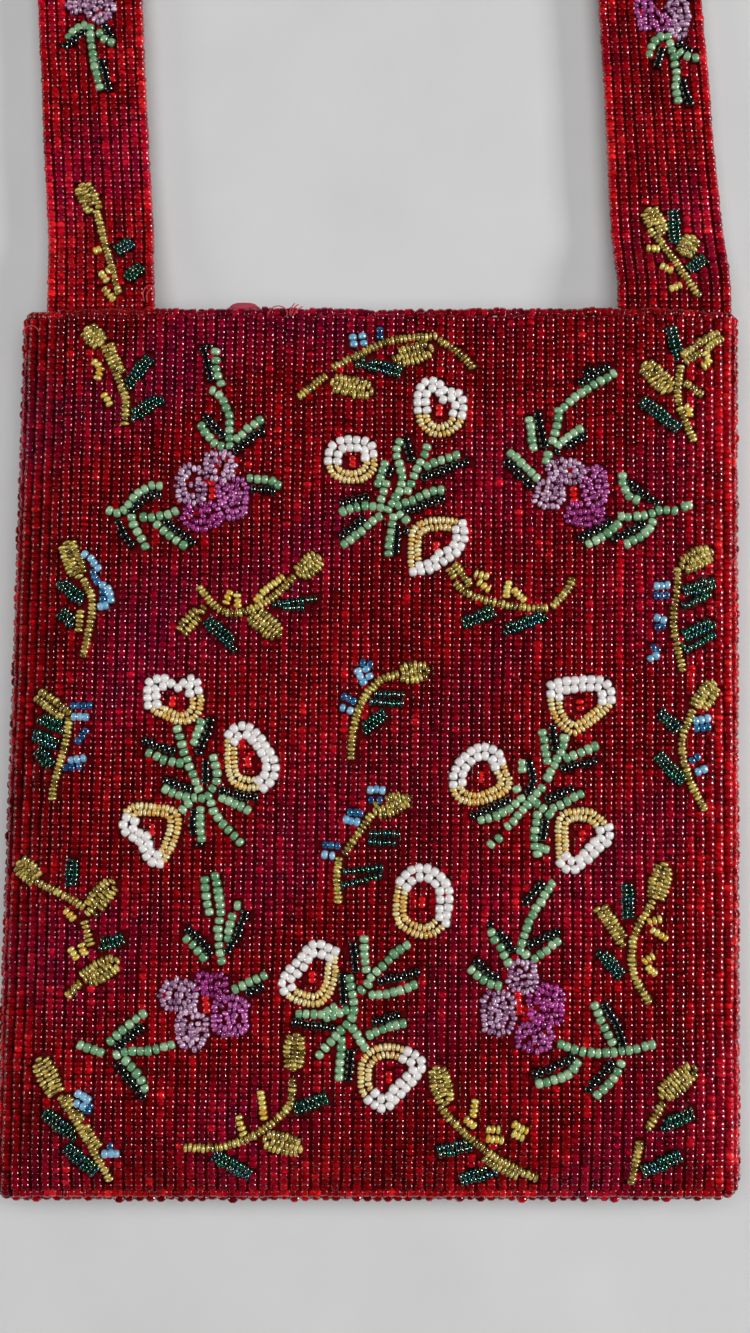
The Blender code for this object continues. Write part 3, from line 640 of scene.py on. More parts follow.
def bead_material(name, smoothest, roughest, density):
    """Glass beads: colour with its painted shade and glow, and glint come with the mesh, and each bead is
    polished a little differently.
    """
    material = bpy.data.materials.new(name)
    make, link = node_tree(material)
    shader = material.node_tree.nodes["Principled BSDF"]
    tint = make("Attribute")
    tint.attribute_name = "tint"
    link(tint.outputs["Color"], shader.inputs["Base Color"])
    polish = make("MapRange", {"To Min": smoothest, "To Max": roughest})
    link(tint.outputs["Alpha"], polish.inputs["Value"])
    link(polish.outputs["Result"], shader.inputs["Roughness"])
    glint = make("Attribute")
    glint.attribute_name = "glint"
    link(glint.outputs["Color"], shader.inputs["Specular Tint"])
    shader.inputs["IOR"].default_value = density
    shader.inputs["Specular IOR Level"].default_value = 1.0
    return material


def cloth_material(name, dark, light, threads, rough, sheen, bump=0.35):
    """Woven cloth: fine threads both ways, with soft changes of colour."""
    material = bpy.data.materials.new(name)
    make, link = node_tree(material)
    shader = material.node_tree.nodes["Principled BSDF"]
    place = make("TexCoord").outputs["Object"]
    weave = make("Math")
    weave.operation = "ADD"
    for i, axis in enumerate("XY"):
        wave = make("TexWave", {"Scale": threads, "Distortion": 0.6, "Detail": 1.0})
        wave.bands_direction = axis
        link(place, wave.inputs["Vector"])
        link(wave.outputs["Fac"], weave.inputs[i])
    cloud = make("TexNoise", {"Scale": 45.0, "Detail": 5.0})
    link(place, cloud.inputs["Vector"])
    mix = make("Mix")
    mix.data_type = "RGBA"
    mix.inputs["A"].default_value = (*dark, 1.0)
    mix.inputs["B"].default_value = (*light, 1.0)
    link(cloud.outputs["Fac"], mix.inputs["Factor"])
    link(mix.outputs["Result"], shader.inputs["Base Color"])
    relief = make("Bump", {"Strength": bump, "Distance": 0.0002})
    link(weave.outputs["Value"], relief.inputs["Height"])
    link(relief.outputs["Normal"], shader.inputs["Normal"])
    for key, value in (("Roughness", rough), ("Sheen Weight", sheen), ("Sheen Roughness", 0.4)):
        shader.inputs[key].default_value = value
    return material


RED_GLASS = bead_material("wine_glass_beads", 0.02, 0.055, 1.64)
BIG_GLASS = bead_material("sewn_glass_beads", 0.03, 0.09, 2.0)
LINED_GLASS = bead_material("lined_glass_beads", 0.03, 0.09, 2.4)
GROUND_CLOTH = cloth_material("ground_cloth", (0.10, 0.001, 0.003), (0.16, 0.002, 0.005), 2600.0, 0.85, 0.0)
SATIN = cloth_material("pink_satin", (0.36, 0.035, 0.060), (0.50, 0.060, 0.095), 4200.0, 0.30, 0.3, 0.12)
STRAP_SATIN = cloth_material("strap_satin", (0.30, 0.02, 0.04), (0.42, 0.035, 0.06), 4200.0, 0.34, 0.3, 0.12)
THREAD = cloth_material("red_thread", (0.42, 0.010, 0.020), (0.62, 0.030, 0.045), 5200.0, 0.60, 0.4, 0.3)
FLOOR_CLOTH = cloth_material("pale_floor_cloth", [0.56] * 3, [0.62] * 3, 1500.0, 0.55, 0.2, 0.22)


# The sewn-on motifs, a block for each with its name first. All places are the photograph's pixels.
# head: a tulip's middle / its outer white row / its outer amber row, over three lines
# petal: kind of bead, whether its strings run up or across, two corners of its box
# leaf: kind of bead, how many strings, both ends
# All other lines are strings: kind of bead, points
MOTIF_TABLE = """
tulip_spray_top
head 439,411 /
418,411 417,394 427,380 439,383 445,394 457,391 464,403 462,416 /
458,427 444,436 430,434 420,424
head 353,462 /
328,462 330,448 342,440 356,440 371,443 374,455 /
375,466 368,478 352,482 336,478 330,470
head 436,547 /
413,572 425,572 437,568 446,558 456,555 466,540 462,524 /
411,561 411,532 421,523 436,520 451,521
mint 399,443 395,451 403,475 402,488 388,510
black 406,440 411,460
mint 427,448 425,455 416,471 408,492
mint 456,456 433,463 427,467
black 466,463 424,478
mint 441,491 431,491 415,500 398,506
black 442,499 406,512
mint 385,465 378,484
mint 386,484 381,500
black 390,470 386,480
mint 393,518 388,554
black 397,528 396,552
mint 343,512 362,506 380,508
black 342,504 366,498
mint 344,545 379,517
black 341,536 363,520
mint 424,536 400,515
black 419,543 406,532

tulip_spray_left
head 173,701 /
149,706 147,684 157,679 167,678 177,690 186,680 198,679 199,690 /
202,701 199,714 190,721 179,723 156,712
head 248,762 /
229,735 236,727 246,725 256,731 275,759 276,770 273,781 264,788 /
228,746 228,771 234,784 247,788 256,787
head 153,830 /
127,817 123,827 130,836 140,840 149,862 160,864 /
127,809 138,805 177,809 179,821 177,836 167,857
mint 178,729 183,750 199,789
mint 201,722 199,731 194,742
black 211,720 210,730 199,752
mint 149,753 170,762 181,763
black 145,741 179,753
mint 214,757 219,779 208,796
black 206,764 206,780
mint 223,798 247,810
black 222,791 256,798
mint 166,789 183,797 202,798
black 166,781 189,789
mint 183,810 188,803 196,800
mint 201,803 200,823 202,838
black 194,812 191,824 200,844
mint 211,803 214,814 240,842

tulip_spray_right
head 580,705 /
550,694 549,685 559,683 580,679 604,680 610,690 611,700 /
551,704 553,716 569,734 580,731 606,710
head 481,777 /
453,784 454,767 475,747 487,747 498,752 502,761 /
505,772 511,782 503,794 474,804 461,800 453,793
head 582,836 /
608,827 610,841 600,847 579,868 567,871 560,863 /
600,819 592,811 565,811 557,821 559,851
mint 542,733 547,761
black 552,728 554,748
mint 564,738 563,747 547,778
mint 595,747 566,758
black 594,761 563,769
mint 522,763 522,769
black 529,763 535,783 528,792
mint 541,788 523,810 508,826
mint 516,789 521,799
mint 521,800 497,817 481,820
black 472,816 508,801
mint 536,803 556,820
mint 547,812 580,794
black 547,799 571,789
mint 537,814 533,846 537,854
black 545,822 543,838
mint 490,845 499,838
mint 541,848 545,849

tulip_spray_bottom
head 422,902 /
400,881 409,871 419,867 430,868 446,882 449,892 449,904 446,923 /
397,891 395,915 401,927 423,937 436,932
head 312,977 /
284,991 280,980 298,961 307,949 317,941 336,951 /
335,964 336,978 326,1000 314,1005 293,999
head 389,1077 /
408,1051 419,1056 424,1067 406,1087 388,1108 375,1106 368,1099 /
361,1089 361,1063 369,1052 382,1046 396,1047
mint 407,944 392,956 371,977
mint 414,985 392,993 372,995
black 417,972 381,981
mint 403,1023 391,1025 370,1034
black 397,1015 375,1021
mint 364,939 366,969
black 353,944 356,968
mint 349,978 356,1010 350,1021 334,1037 320,1054
black 342,975 344,1001
mint 361,990 374,977
mint 299,1013 322,1015 334,1007
mint 327,1017 346,1010
black 294,1022 332,1028
mint 342,1040 339,1077
black 351,1052 349,1078
mint 353,1028 365,1047
mint 318,1053 322,1052

violet_spray_upper_left
petal lilac up 205,452 235,481
petal lilac across 177,467 206,503
petal violet across 218,479 248,518
petal magenta up 185,503 222,530
ruby 212,484 213,503
mint 216,353 217,375 221,385
mint 213,391 222,397 230,416 230,447
black 204,350 212,386
black 210,347 211,368
mint 202,427 213,443 221,447
black 206,418 223,436
mint 260,421 237,439
black 262,432 236,451
mint 243,479 269,480 278,486
black 247,489 274,492
mint 160,486 150,486 136,495 127,508 119,515 110,511
black 160,495 145,498 132,512
mint 132,517 133,525 146,547
black 119,523 123,533 132,546
mint 144,518 168,516 183,508
mint 158,525 171,538 184,546
black 167,523 194,543

violet_spray_upper_right
petal lilac up 547,460 583,484
petal lilac across 535,481 564,508
petal violet across 583,468 607,506
petal magenta up 566,504 603,526
ruby 573,484 574,500
mint 613,375 588,389 575,397 564,408
mint 559,411 553,442
black 606,367 580,383
black 597,366 584,374
mint 529,421 533,448
black 537,415 544,447
mint 579,430 558,446
black 584,437 557,452
mint 549,449 546,462
mint 511,454 536,478
black 506,463 530,487
mint 622,476 622,484 628,498 636,500
black 629,483 656,504
mint 620,517 629,518 652,515 658,510 674,511
mint 684,507 688,506
mint 652,523 649,531 627,544
black 642,524 614,541
mint 617,525 603,537 589,544
black 609,523 580,538

violet_spray_lower_left
petal lilac across 162,980 197,1010
petal magenta up 195,972 226,996
petal violet across 213,997 249,1034
petal lilac up 176,1010 206,1048
ruby 206,998 208,1016
mint 205,879 206,900 210,912
mint 216,876 221,912
mint 219,920 218,942 222,961
mint 237,905 239,905
mint 232,916 228,938
black 246,912 238,937 228,950
mint 187,938 204,957
black 188,929 206,944 210,953
mint 228,992 240,987 264,975
black 237,1000 262,986
mint 143,1013 111,1041
black 142,1026 119,1046
mint 81,1044 101,1052
mint 117,1054 128,1050 151,1051 172,1044
mint 126,1060 140,1075 145,1088
black 115,1058 120,1069 144,1096

violet_spray_lower_right
petal lilac up 509,960 537,992
petal lilac across 482,992 514,1033
petal magenta across 528,985 563,1024
petal violet up 517,1022 552,1051
ruby 518,994 519,1012
mint 552,883 528,920 520,950
black 541,883 525,902
mint 491,932 508,962
black 490,924 506,939 511,949
mint 556,941 535,958
mint 525,955 528,960
black 557,931 530,944
mint 471,969 487,983 498,986
black 476,961 495,977
mint 553,1041 586,1054 630,1050 651,1044
mint 594,1005 611,1042
black 604,1004 620,1031 622,1043
mint 577,1062 572,1072 560,1078 539,1083
black 572,1057 555,1065 534,1074
mint 620,1063 616,1075 597,1094
black 611,1063 587,1089

strap_violet_left_1
petal lilac across 67,-18 88,14
petal lilac up 88,-10 114,22
petal magenta up 84,-42 110,-14
mint 85,27 76,31 69,38
mint 91,29 92,52 100,88
mint 100,34 104,41 113,44
black 83,35 66,48
black 96,23 105,26 114,41
black 103,64 110,90

strap_violet_right_1
petal violet up 635,-6 653,31
petal violet across 652,12 670,32
petal lilac up 666,-2 689,38
petal lilac up 650,-34 678,-8
mint 660,38 651,46 649,56
mint 668,38 677,76 674,88 678,102
mint 679,54 686,59 695,59
black 661,52 657,66
black 677,39 681,48 690,52
black 682,83 689,105

corner_sprig_upper_left
gold 105,348 123,388 127,404 125,424
gold 111,346 122,372
yellow 95,363 102,368 98,379
yellow 105,396 110,405
leaf gold 3 87,329 102,345
leaf teal 2 127,388 150,358
leaf teal 2 131,418 162,398

top_sprig
gold 300,397 325,377
gold 334,368 364,353 390,340 435,337
gold 440,341 462,356 472,368
sky 353,338 354,345
sky 363,337 364,344
navy 380,331 380,338
leaf gold 3 331,383 373,392
leaf gold 3 393,361 432,349
leaf teal 2 357,362 401,373

corner_sprig_upper_right
gold 680,368 677,387 677,404 693,441
yellow 704,355 710,362 703,367
gold 685,384 701,395
yellow 682,405 690,410 688,420
leaf gold 2 683,360 719,336
leaf gold 3 643,364 670,392
leaf teal 2 670,328 679,361
leaf teal 2 641,401 678,430

side_sprig_left_upper
gold 84,581 93,596 93,612 84,656
gold 81,612 79,630
sky 85,554 92,559
sky 94,563 99,569
navy 94,573 97,582
sky 98,583 109,588 111,600
sky 102,607 106,606
navy 103,592 103,600
leaf gold 3 67,542 80,578
leaf teal 2 60,582 84,602
leaf teal 2 61,612 75,625

side_sprig_left_lower
gold 70,719 65,750 54,784 53,798
navy 74,706 90,706
sky 75,717 86,717
navy 86,731 79,741
sky 72,760 84,758
navy 66,768 80,767
leaf gold 2 39,695 69,717
leaf teal 2 40,718 69,730
leaf teal 2 35,735 58,745
leaf teal 2 38,750 52,766

inner_sprig_left
gold 294,578 271,600 252,610 233,615 216,609 200,588
gold 206,603 201,612
yellow 283,578 263,592 257,601
yellow 287,585 267,599
yellow 230,593 226,603
yellow 238,596 238,606
teal 316,599 275,605
teal 303,608 276,609
leaf gold 3 320,557 298,575
leaf gold 2 199,612 182,632
leaf gold 3 247,608 280,637
leaf teal 2 207,620 238,650

inner_sprig_right
gold 456,584 466,594 480,599 514,608 546,608
gold 553,606 568,590 572,580
yellow 476,574 486,577
yellow 479,583 488,590
yellow 508,584 506,596
yellow 514,591 523,600
leaf gold 2 451,567 468,588
leaf teal 2 463,624 494,611
leaf teal 2 503,631 545,616

side_sprig_right_upper
gold 677,570 677,587 671,622 682,670
sky 656,586 666,586
navy 656,596 666,596
sky 656,618 663,621
navy 657,628 662,626
navy 653,648 657,650
sky 650,659 655,656
leaf gold 3 711,552 680,567
leaf teal 2 683,592 713,583
leaf teal 2 681,604 708,592
leaf teal 2 683,637 713,622
leaf teal 2 683,649 712,632

side_sprig_right_lower
gold 692,712 684,729 680,748 689,783 704,809
sky 695,721 706,719
navy 696,729 707,727
navy 691,761 697,757
sky 697,772 703,769
leaf gold 3 714,683 694,711
leaf teal 2 659,712 681,734
leaf teal 2 657,755 682,782

centre_sprig_upper
gold 397,675 384,677 366,693 353,723 351,758
sky 358,672 363,682
sky 366,669 370,677
navy 362,663 371,665
sky 342,708 351,711
navy 344,697 353,701
teal 371,694 403,695
teal 371,702 402,704
leaf gold 3 398,674 429,671
leaf teal 2 362,731 385,713

centre_sprig_lower
gold 371,815 345,853
gold 339,859 336,875 339,901
sky 371,790 382,790
navy 371,800 380,800
sky 346,820 356,822
navy 350,812 361,813
navy 325,845 338,846
sky 324,855 333,856
teal 371,833 398,834
teal 370,842 394,843
teal 345,872 381,867
teal 343,885 380,876
leaf gold 3 374,812 409,797

low_sprig_left
gold 38,882 72,899 83,907
gold 85,922 91,944
yellow 67,911 74,918
yellow 77,921 85,922
yellow 72,949 77,957
yellow 82,945 85,953
gold 80,983 69,995
leaf gold 3 19,862 39,881
leaf gold 3 114,881 87,914
leaf gold 3 119,960 81,982
leaf teal 2 73,859 71,885
leaf teal 2 99,946 124,938

low_sprig_right
gold 652,902 637,927 631,944 632,976 648,1001
gold 597,909 613,932 622,945
gold 604,907 623,936
yellow 649,921 659,919
yellow 652,930 665,938
yellow 644,961 652,956
yellow 648,967 654,973
leaf gold 3 664,863 654,902
leaf teal 2 626,884 628,918
leaf teal 2 599,951 621,975

corner_sprig_lower_left
gold 61,1097 81,1126 110,1178
gold 68,1096 99,1145
sky 79,1093 88,1099
sky 77,1103 84,1106
navy 92,1100 88,1110
sky 106,1153 117,1153
navy 110,1144 112,1146
leaf gold 3 39,1058 59,1096
leaf teal 2 45,1112 77,1137
leaf teal 2 67,1146 96,1171

foot_sprig_left
gold 292,1080 292,1097 288,1110 252,1138 218,1148 186,1147
yellow 261,1092 264,1117
yellow 239,1117 243,1133
leaf gold 3 296,1033 293,1070
leaf gold 3 263,1138 302,1148
leaf teal 2 294,1109 327,1097
leaf teal 2 214,1154 250,1174

foot_sprig_right
gold 441,1107 451,1121 497,1160 535,1177
gold 484,1158 499,1168 516,1175
yellow 475,1101 473,1114
yellow 466,1119 473,1125
yellow 488,1128 498,1129
yellow 488,1138 501,1140
yellow 514,1124 526,1130
yellow 514,1133 522,1137
leaf gold 3 436,1066 446,1104
leaf teal 2 438,1151 471,1144
leaf teal 2 460,1179 504,1166

corner_sprig_lower_right
gold 662,1104 648,1127
gold 639,1142 631,1181
leaf gold 3 694,1066 660,1097
leaf teal 2 660,1126 692,1112
leaf teal 2 642,1171 680,1155

strap_sprig_left_1
gold 97,213 105,243 119,293
gold 105,290 113,300
yellow 96,252 103,250
yellow 102,275 107,281
gold 100,276 108,272
leaf gold 3 82,185 96,214
leaf teal 2 117,252 132,243
leaf teal 2 127,280 141,267

strap_sprig_right_1
gold 657,238 688,282 698,296
gold 650,232 676,268
yellow 648,250 657,250
yellow 662,268 670,271
yellow 671,290 679,287
leaf gold 3 647,210 662,236
leaf gold 3 693,238 682,256
leaf teal 2 672,212 675,245
leaf teal 2 688,271 704,260
"""

# The strap's further motifs, as shares of its width: across it, then along it
STRAP_MOTIFS = {
    "sprig": [
        ("gold", (-0.18, 0.52), (-0.10, 0.28), (0.02, 0.05), (0.10, -0.20), (0.12, -0.52)),
        ("gold", (-0.10, 0.50), (-0.02, 0.30), (0.06, 0.10)),
        ("teal", (0.34, 0.04), (0.20, -0.04), (0.08, -0.12)),
        ("teal", (0.34, -0.04), (0.20, -0.12), (0.10, -0.20)),
        ("teal", (0.38, -0.18), (0.24, -0.28), (0.12, -0.38)),
        ("teal", (0.36, -0.27), (0.24, -0.35), (0.14, -0.44)),
        ("yellow", (-0.14, -0.14), (-0.04, -0.10), (0.05, -0.06)),
        ("yellow", (-0.08, -0.36), (0.04, -0.35)),
    ],
    "violet": [
        ("mint", (0.0, 0.12), (0.0, -0.10), (0.04, -0.46)),
        ("mint", (-0.22, -0.02), (-0.08, 0.06)),
        ("mint", (0.22, -0.06), (0.08, 0.02)),
        ("black", (-0.24, -0.12), (-0.08, -0.03)),
        ("black", (0.24, -0.16), (0.08, -0.07)),
        ("black", (0.10, -0.24), (0.13, -0.46)),
    ],
}
STRAP_VIOLET_PETALS = [
    ("lilac", -0.17, 0.34),
    ("violet", 0.17, 0.34),
    ("lilac", 0.0, 0.50),
    ("magenta", 0.0, 0.20),
]
STRAP_PETAL_RINGS = (0.125, 0.05)

# How many motifs each half of the strap holds, and where the first is, past the hinge
STRAP_MOTIF_COUNT = 7
FIRST_MOTIF = 0.0160


# Laying the sewn-on motifs

def lifted(points, bead, height_at):
    """Floor points raised to where beads of this kind lie on the beadwork, and the way out."""
    x, y = points[:, 0], points[:, 1]
    step = 0.0004
    slope_x = (height_at(x + step, y) - height_at(x - step, y)) / (2 * step)
    slope_y = (height_at(x, y + step) - height_at(x, y - step)) / (2 * step)
    outward = unit(np.stack([-slope_x, -slope_y, np.ones(len(x))], axis=-1))
    return np.column_stack([x, y, height_at(x, y) + bead.rise]), outward


def sewn(kind, points, height_at, chance, reach=0.5, slack=0.06):
    """Beads of one kind on a line of floor points, which are the middles of its first and last beads."""
    bead = BEADS[kind]
    line = softened(points)
    first = unit(line[0] - line[1]) * bead.pitch * reach
    last = unit(line[-1] - line[-2]) * bead.pitch * reach
    line = np.concatenate([[line[0] + first], line, [line[-1] + last]])
    path, outward = lifted(line, bead, height_at)
    return threaded(path, outward, bead, chance, mixed(bead), slack)


def points_in(text):
    """The points of a line of the motif table."""
    return [tuple(map(int, pair.split(","))) for pair in text.split()]


def rows_for(line, height_at, chance):
    """The rows of beads that a line of the motif table asks for."""
    what, rest = line.split(maxsplit=1)
    if what == "head":
        middle, white, amber = [points_in(part) for part in rest.split("/")]
        return head_rows(middle[0], white, amber, height_at, chance)
    if what == "petal":
        kind, run, corners = rest.split(maxsplit=2)
        return lobe_rows(kind, points_in(corners), run, height_at, chance)
    if what == "leaf":
        kind, strings, ends = rest.split(maxsplit=2)
        return leaf_rows(kind, points_in(ends), int(strings), height_at, chance)
    return [sewn(what, seen_at(points_in(rest), height_at)[:, :2], height_at, chance)]


def leaf_rows(kind, ends, strings, height_at, chance):
    """A leaf of a few strings side by side, the outer ones shorter and bowed outwards."""
    ends = seen_at(ends, height_at)[:, :2]
    along = ends[1] - ends[0]
    across = np.array([-along[1], along[0]]) / np.linalg.norm(along)
    gap = BEADS[kind].radius * (LEAF_CLOSE if kind == "teal" or strings > 2 else LEAF_WIDE)
    rows = []
    for i in range(strings):
        offset = (i - (strings - 1) / 2) * gap
        short = LEAF_SHORT if strings > 2 and i != strings // 2 else 0.0
        bow = LEAF_BOW * offset
        line = [
            ends[0] + along * short + across * (offset - bow),
            ends[0] + along * 0.5 + across * (offset + 0.5 * bow),
            ends[1] - along * short + across * (offset - bow),
        ]
        rows.append(sewn(kind, np.array(line), height_at, chance, 0.2, 0.10))
    return rows


def head_rows(middle, white, amber, height_at, chance):
    """A tulip head: a double row of white beads round one side, closed by a double row of amber ones."""
    centre = seen_at([middle], height_at)[0, :2]
    outer = seen_at(white, height_at)[:, :2]
    other = seen_at(amber, height_at)[:, :2]
    if np.linalg.norm(other[0] - outer[0]) < np.linalg.norm(other[0] - outer[-1]):
        other = other[::-1]
    rows = []
    gap = np.repeat([ROW_GAP, AMBER_GAP], [len(outer), len(other)])[:, None]
    for step_in in (0.0, 1.0):
        ring = np.concatenate([outer, other])
        away = ring - centre
        distance = np.linalg.norm(away, axis=1, keepdims=True)
        closer = np.maximum(distance - step_in * gap, ROW_LEAST)
        ring = centre + away * closer / distance
        pale, warm = ring[: len(outer)], ring[len(outer):]
        reach = (BEADS["white"].pitch + BEADS["amber"].pitch) / 2
        first = pale[-1] + unit(warm[0] - pale[-1]) * reach
        last = pale[0] + unit(warm[-1] - pale[0]) * reach
        rows.append(sewn("white", pale, height_at, chance))
        rows.append(sewn("amber", np.concatenate([[first], warm, [last]]), height_at, chance))
    rows.append(sewn("ruby", centre + np.array([[0, 0.0006], [0, -0.0006]]), height_at, chance))
    return rows


def lobe_rows(kind, corners, run, height_at, chance):
    """A violet's petal: rings of small beads inside each other."""
    corners = seen_at(corners, height_at)[:, :2]
    centre = corners.mean(axis=0)
    bead = BEADS[kind]
    half = np.abs(corners[1] - corners[0]) / 2 * PETAL_SPREAD - bead.radius
    turn = np.linspace(0, 2 * math.pi, 17)
    rows = []
    for i in range(PETAL_RINGS):
        size = half - i * PETAL_GAP * bead.radius
        if size.min() > bead.radius * 0.5:
            swell = 1.0 + PETAL_CORNERS * np.cos(4 * turn + math.pi)
            ring = np.stack([np.cos(turn) * size[0] * swell, np.sin(turn) * size[1] * swell], axis=-1)
            rows.append(sewn(kind, centre + ring, height_at, chance, -0.3, PETAL_SLACK))
        elif size.max() > 0:
            reach = size * [run == "across", run == "up"]
            rows.append(sewn(kind, np.array([centre - reach, centre + reach]), height_at, chance, 0.0))
            break
    return rows


def motif_place(shares, travel):
    """Floor points of a strap motif, which stands upright as seen from the bag."""
    sign = 1.0 if travel <= STRAP_LENGTH / 2 else -1.0
    shares = np.asarray(shares, float)
    travels = travel + sign * shares[:, 1] * STRAP_WIDTH
    return strap_point(travels, -sign * shares[:, 0] * STRAP_WIDTH)[:, :2]


def strap_motif_rows(motif, travel, chance):
    """Sewn-on beads of a strap motif that the photograph doesn't show, a sprig or a violet."""
    lines = [(kind, shares) for kind, *shares in STRAP_MOTIFS[motif]]
    if motif == "violet":
        turn = np.linspace(0, 2 * math.pi, 13)
        for kind, across, along in STRAP_VIOLET_PETALS:
            for size in STRAP_PETAL_RINGS:
                ring = np.stack([across + size * np.cos(turn), along + size * np.sin(turn)], axis=-1)
                lines.append((kind, ring))
    return [sewn(kind, motif_place(shares, travel), strap_middle, chance) for kind, shares in lines]


def all_motifs():
    """Sewn-on beads by the node that they stand for."""
    found = {}
    chance = np.random.default_rng(41)

    def add(name, rows):
        sewn_on = found.setdefault(name, [])
        for row in rows:
            free = clear_of(row, joined(sewn_on), MOTIF_CLEARING) if sewn_on else row
            if len(free.centre):
                sewn_on.append(free)

    for block in MOTIF_TABLE.strip().replace("/\n", "/ ").split("\n\n"):
        name, *lines = block.splitlines()
        height_at = strap_middle if name.startswith("strap") else face_middle
        for line in lines:
            add(name, rows_for(line, height_at, chance))
    step = (STRAP_LENGTH / 2 - FIRST_MOTIF) / STRAP_MOTIF_COUNT
    for i in range(2, STRAP_MOTIF_COUNT):
        motif = "violet" if i % 2 else "sprig"
        travel = FIRST_MOTIF + i * step
        add(f"strap_{motif}_left_{i // 2 + 1}", strap_motif_rows(motif, travel, chance))
        add(f"strap_{motif}_right_{i // 2 + 1}", strap_motif_rows(motif, STRAP_LENGTH - travel, chance))
    add("strap_violet_crown", strap_motif_rows("violet", STRAP_LENGTH / 2, chance))
    return {name: joined(rows) for name, rows in found.items()}


def clear_of(row, others, share=RED_CLEARING):
    """The beads of a row that don't lie under the others."""
    free = np.ones(len(row.centre), bool)
    for start in range(0, len(row.centre), 500):
        part = slice(start, start + 500)
        gap = np.linalg.norm(row.centre[part, None] - others.centre[None], axis=-1)
        free[part] = np.all(gap > share * (row.radius[part, None] + others.radius[None]), axis=1)
    return Row(*[part[free] for part in row])


# Laying the red strings

def face_level(string):
    """How bright the reds of a face string are: the sides are brighter, the right one most."""
    rises = [rise * smooth((side * string - start) / wide) for side, start, wide, rise in FACE_RED_RISES]
    return FACE_RED + float(sum(rises))


def face_string(string, chance):
    """One red string down the face, with the bead that is turned over the mouth."""
    across = string * PITCH
    round_foot = SIDE_FOOT_REACH if abs(string) > FACE_STRINGS else FACE_FOOT_REACH
    first = 0.0002 + chance.uniform(0.0, 0.6) * RED.pitch
    down = np.linspace(first, STRAIGHT + FOOT_ARC * round_foot, 200)
    place = across + WOBBLE * waves(down, 0, WOBBLE_WIDTH, 100 + string)
    colours = reds(face_level(string) + chance.normal(0, 0.05), 300 + string)
    row = threaded(shell(place, down), shell_outward(place, down), RED, chance, colours)
    start = shell(across, 0.0)
    over = start + np.array([[0, 0.0, -0.0004], [0, chance.normal(0.0006, 0.00025), -0.0017]])
    turned = threaded(over, np.array([[0, 1.0, 0.3]] * 2), RED, chance, colours)
    return joined([row, turned])


def mouth_row(chance):
    """The string that finishes the mouth's edge."""
    across = np.linspace(-FLAT_HALF - 0.3 * SIDE_ARC, FLAT_HALF + 0.3 * SIDE_ARC, 400)
    path = shell(across, 0.0) + np.array([0.0, 0.0002, -0.00075])
    path[:, 1] += 0.00022 * waves(across, 0, 0.011, 90)
    path[:, 2] += 0.00016 * waves(across, 0, 0.014, 91)
    outward = np.broadcast_to(np.array([0.0, 0.6, 0.8]), path.shape)
    return threaded(path, outward, RED, chance, reds(MOUTH_RED, 92), 0.12)


def laced_edge(side, chance):
    """Short rows of beads that lace a side edge, one below another."""
    place = side * (FLAT_HALF + SIDE_ARC * np.array(LACE_SHARES))
    colours = reds(LACE_REDS[side], 93)
    rows = []
    for down in np.arange(0.0012, STRAIGHT, LACE_PITCH):
        level = np.full(len(place), down + chance.normal(0, 0.00012))
        outward = shell_outward(place, level)
        path = shell(place, level) + outward * LACE_RISE
        rows.append(threaded(path, outward, RED, chance, colours, 0.10))
    return joined(rows)


def foot_rows(chance):
    """The seam along the foot: two strings along it and a bead over its edge at each face string."""
    across = np.linspace(-FLAT_HALF, FLAT_HALF, 300)
    rows = []
    for down, level in FOOT_STRINGS:
        place = np.full(len(across), STRAIGHT + FOOT_ARC * down)
        rows.append(threaded(shell(across, place), shell_outward(across, place), RED, chance, reds(level, 7)))
    for string in range(-FACE_STRINGS, FACE_STRINGS + 1):
        down = STRAIGHT + FOOT_ARC * np.array(FOOT_STITCH) + chance.normal(0, 0.0001)
        bulge = np.array([0, -chance.uniform(0.0001, 0.0008), 0])
        path = shell(string * PITCH, down) + bulge
        rows.append(threaded(path, shell_outward(string * PITCH, down), RED, chance, reds(FOOT_RED, 9)))
    return joined(rows)


def back_string(across, chance):
    """One red string up the back, round the foot's lower edge."""
    up = np.linspace(MOUTH, FLAT_FOOT, 160)
    bend = np.linspace(0, 1.2, 12)[1:]
    y = np.concatenate([up, FLAT_FOOT - FOOT_BULGE * np.sin(bend)])
    z = np.concatenate([np.full(len(up), BACK_Z), MIDDLE_Z - (MIDDLE_Z - BACK_Z) * np.cos(bend)])
    angle = np.concatenate([np.zeros(len(up)), bend])
    x = across + SMALL_WOBBLE * waves(y, 0, WOBBLE_WIDTH, int(across * 1e5) + 29000) + lean(y)
    path = np.stack([x, y, z], axis=-1)
    outward = np.stack([np.zeros(len(y)), -np.sin(angle), -np.cos(angle)], axis=-1)
    return threaded(path, outward, RED, chance, reds(BACK_RED, int(across * 1e5) + 14000))


def strap_string(string, low, high, chance):
    """One red string along part of the strap."""
    travel = np.linspace(low, high, 220)
    offset = string * PITCH + SMALL_WOBBLE * waves(travel, 0, WOBBLE_WIDTH, 700 + string)
    path = strap_point(travel, offset)
    outward = np.zeros_like(path)
    outward[:, 2] = 1.0
    edge = abs(string) / STRAP_STRINGS
    outward[:, :2] = strap_line(travel)[1] * 0.5 * np.sign(string) * smooth((edge - 0.7) / 0.3)
    level = STRAP_RED + STRAP_EDGE_RED * float(smooth((edge - 0.75) / 0.25)) + chance.normal(0, 0.03)
    return threaded(path, unit(outward), RED, chance, reds(level, 500 + string))


# Sheets, floor and threads

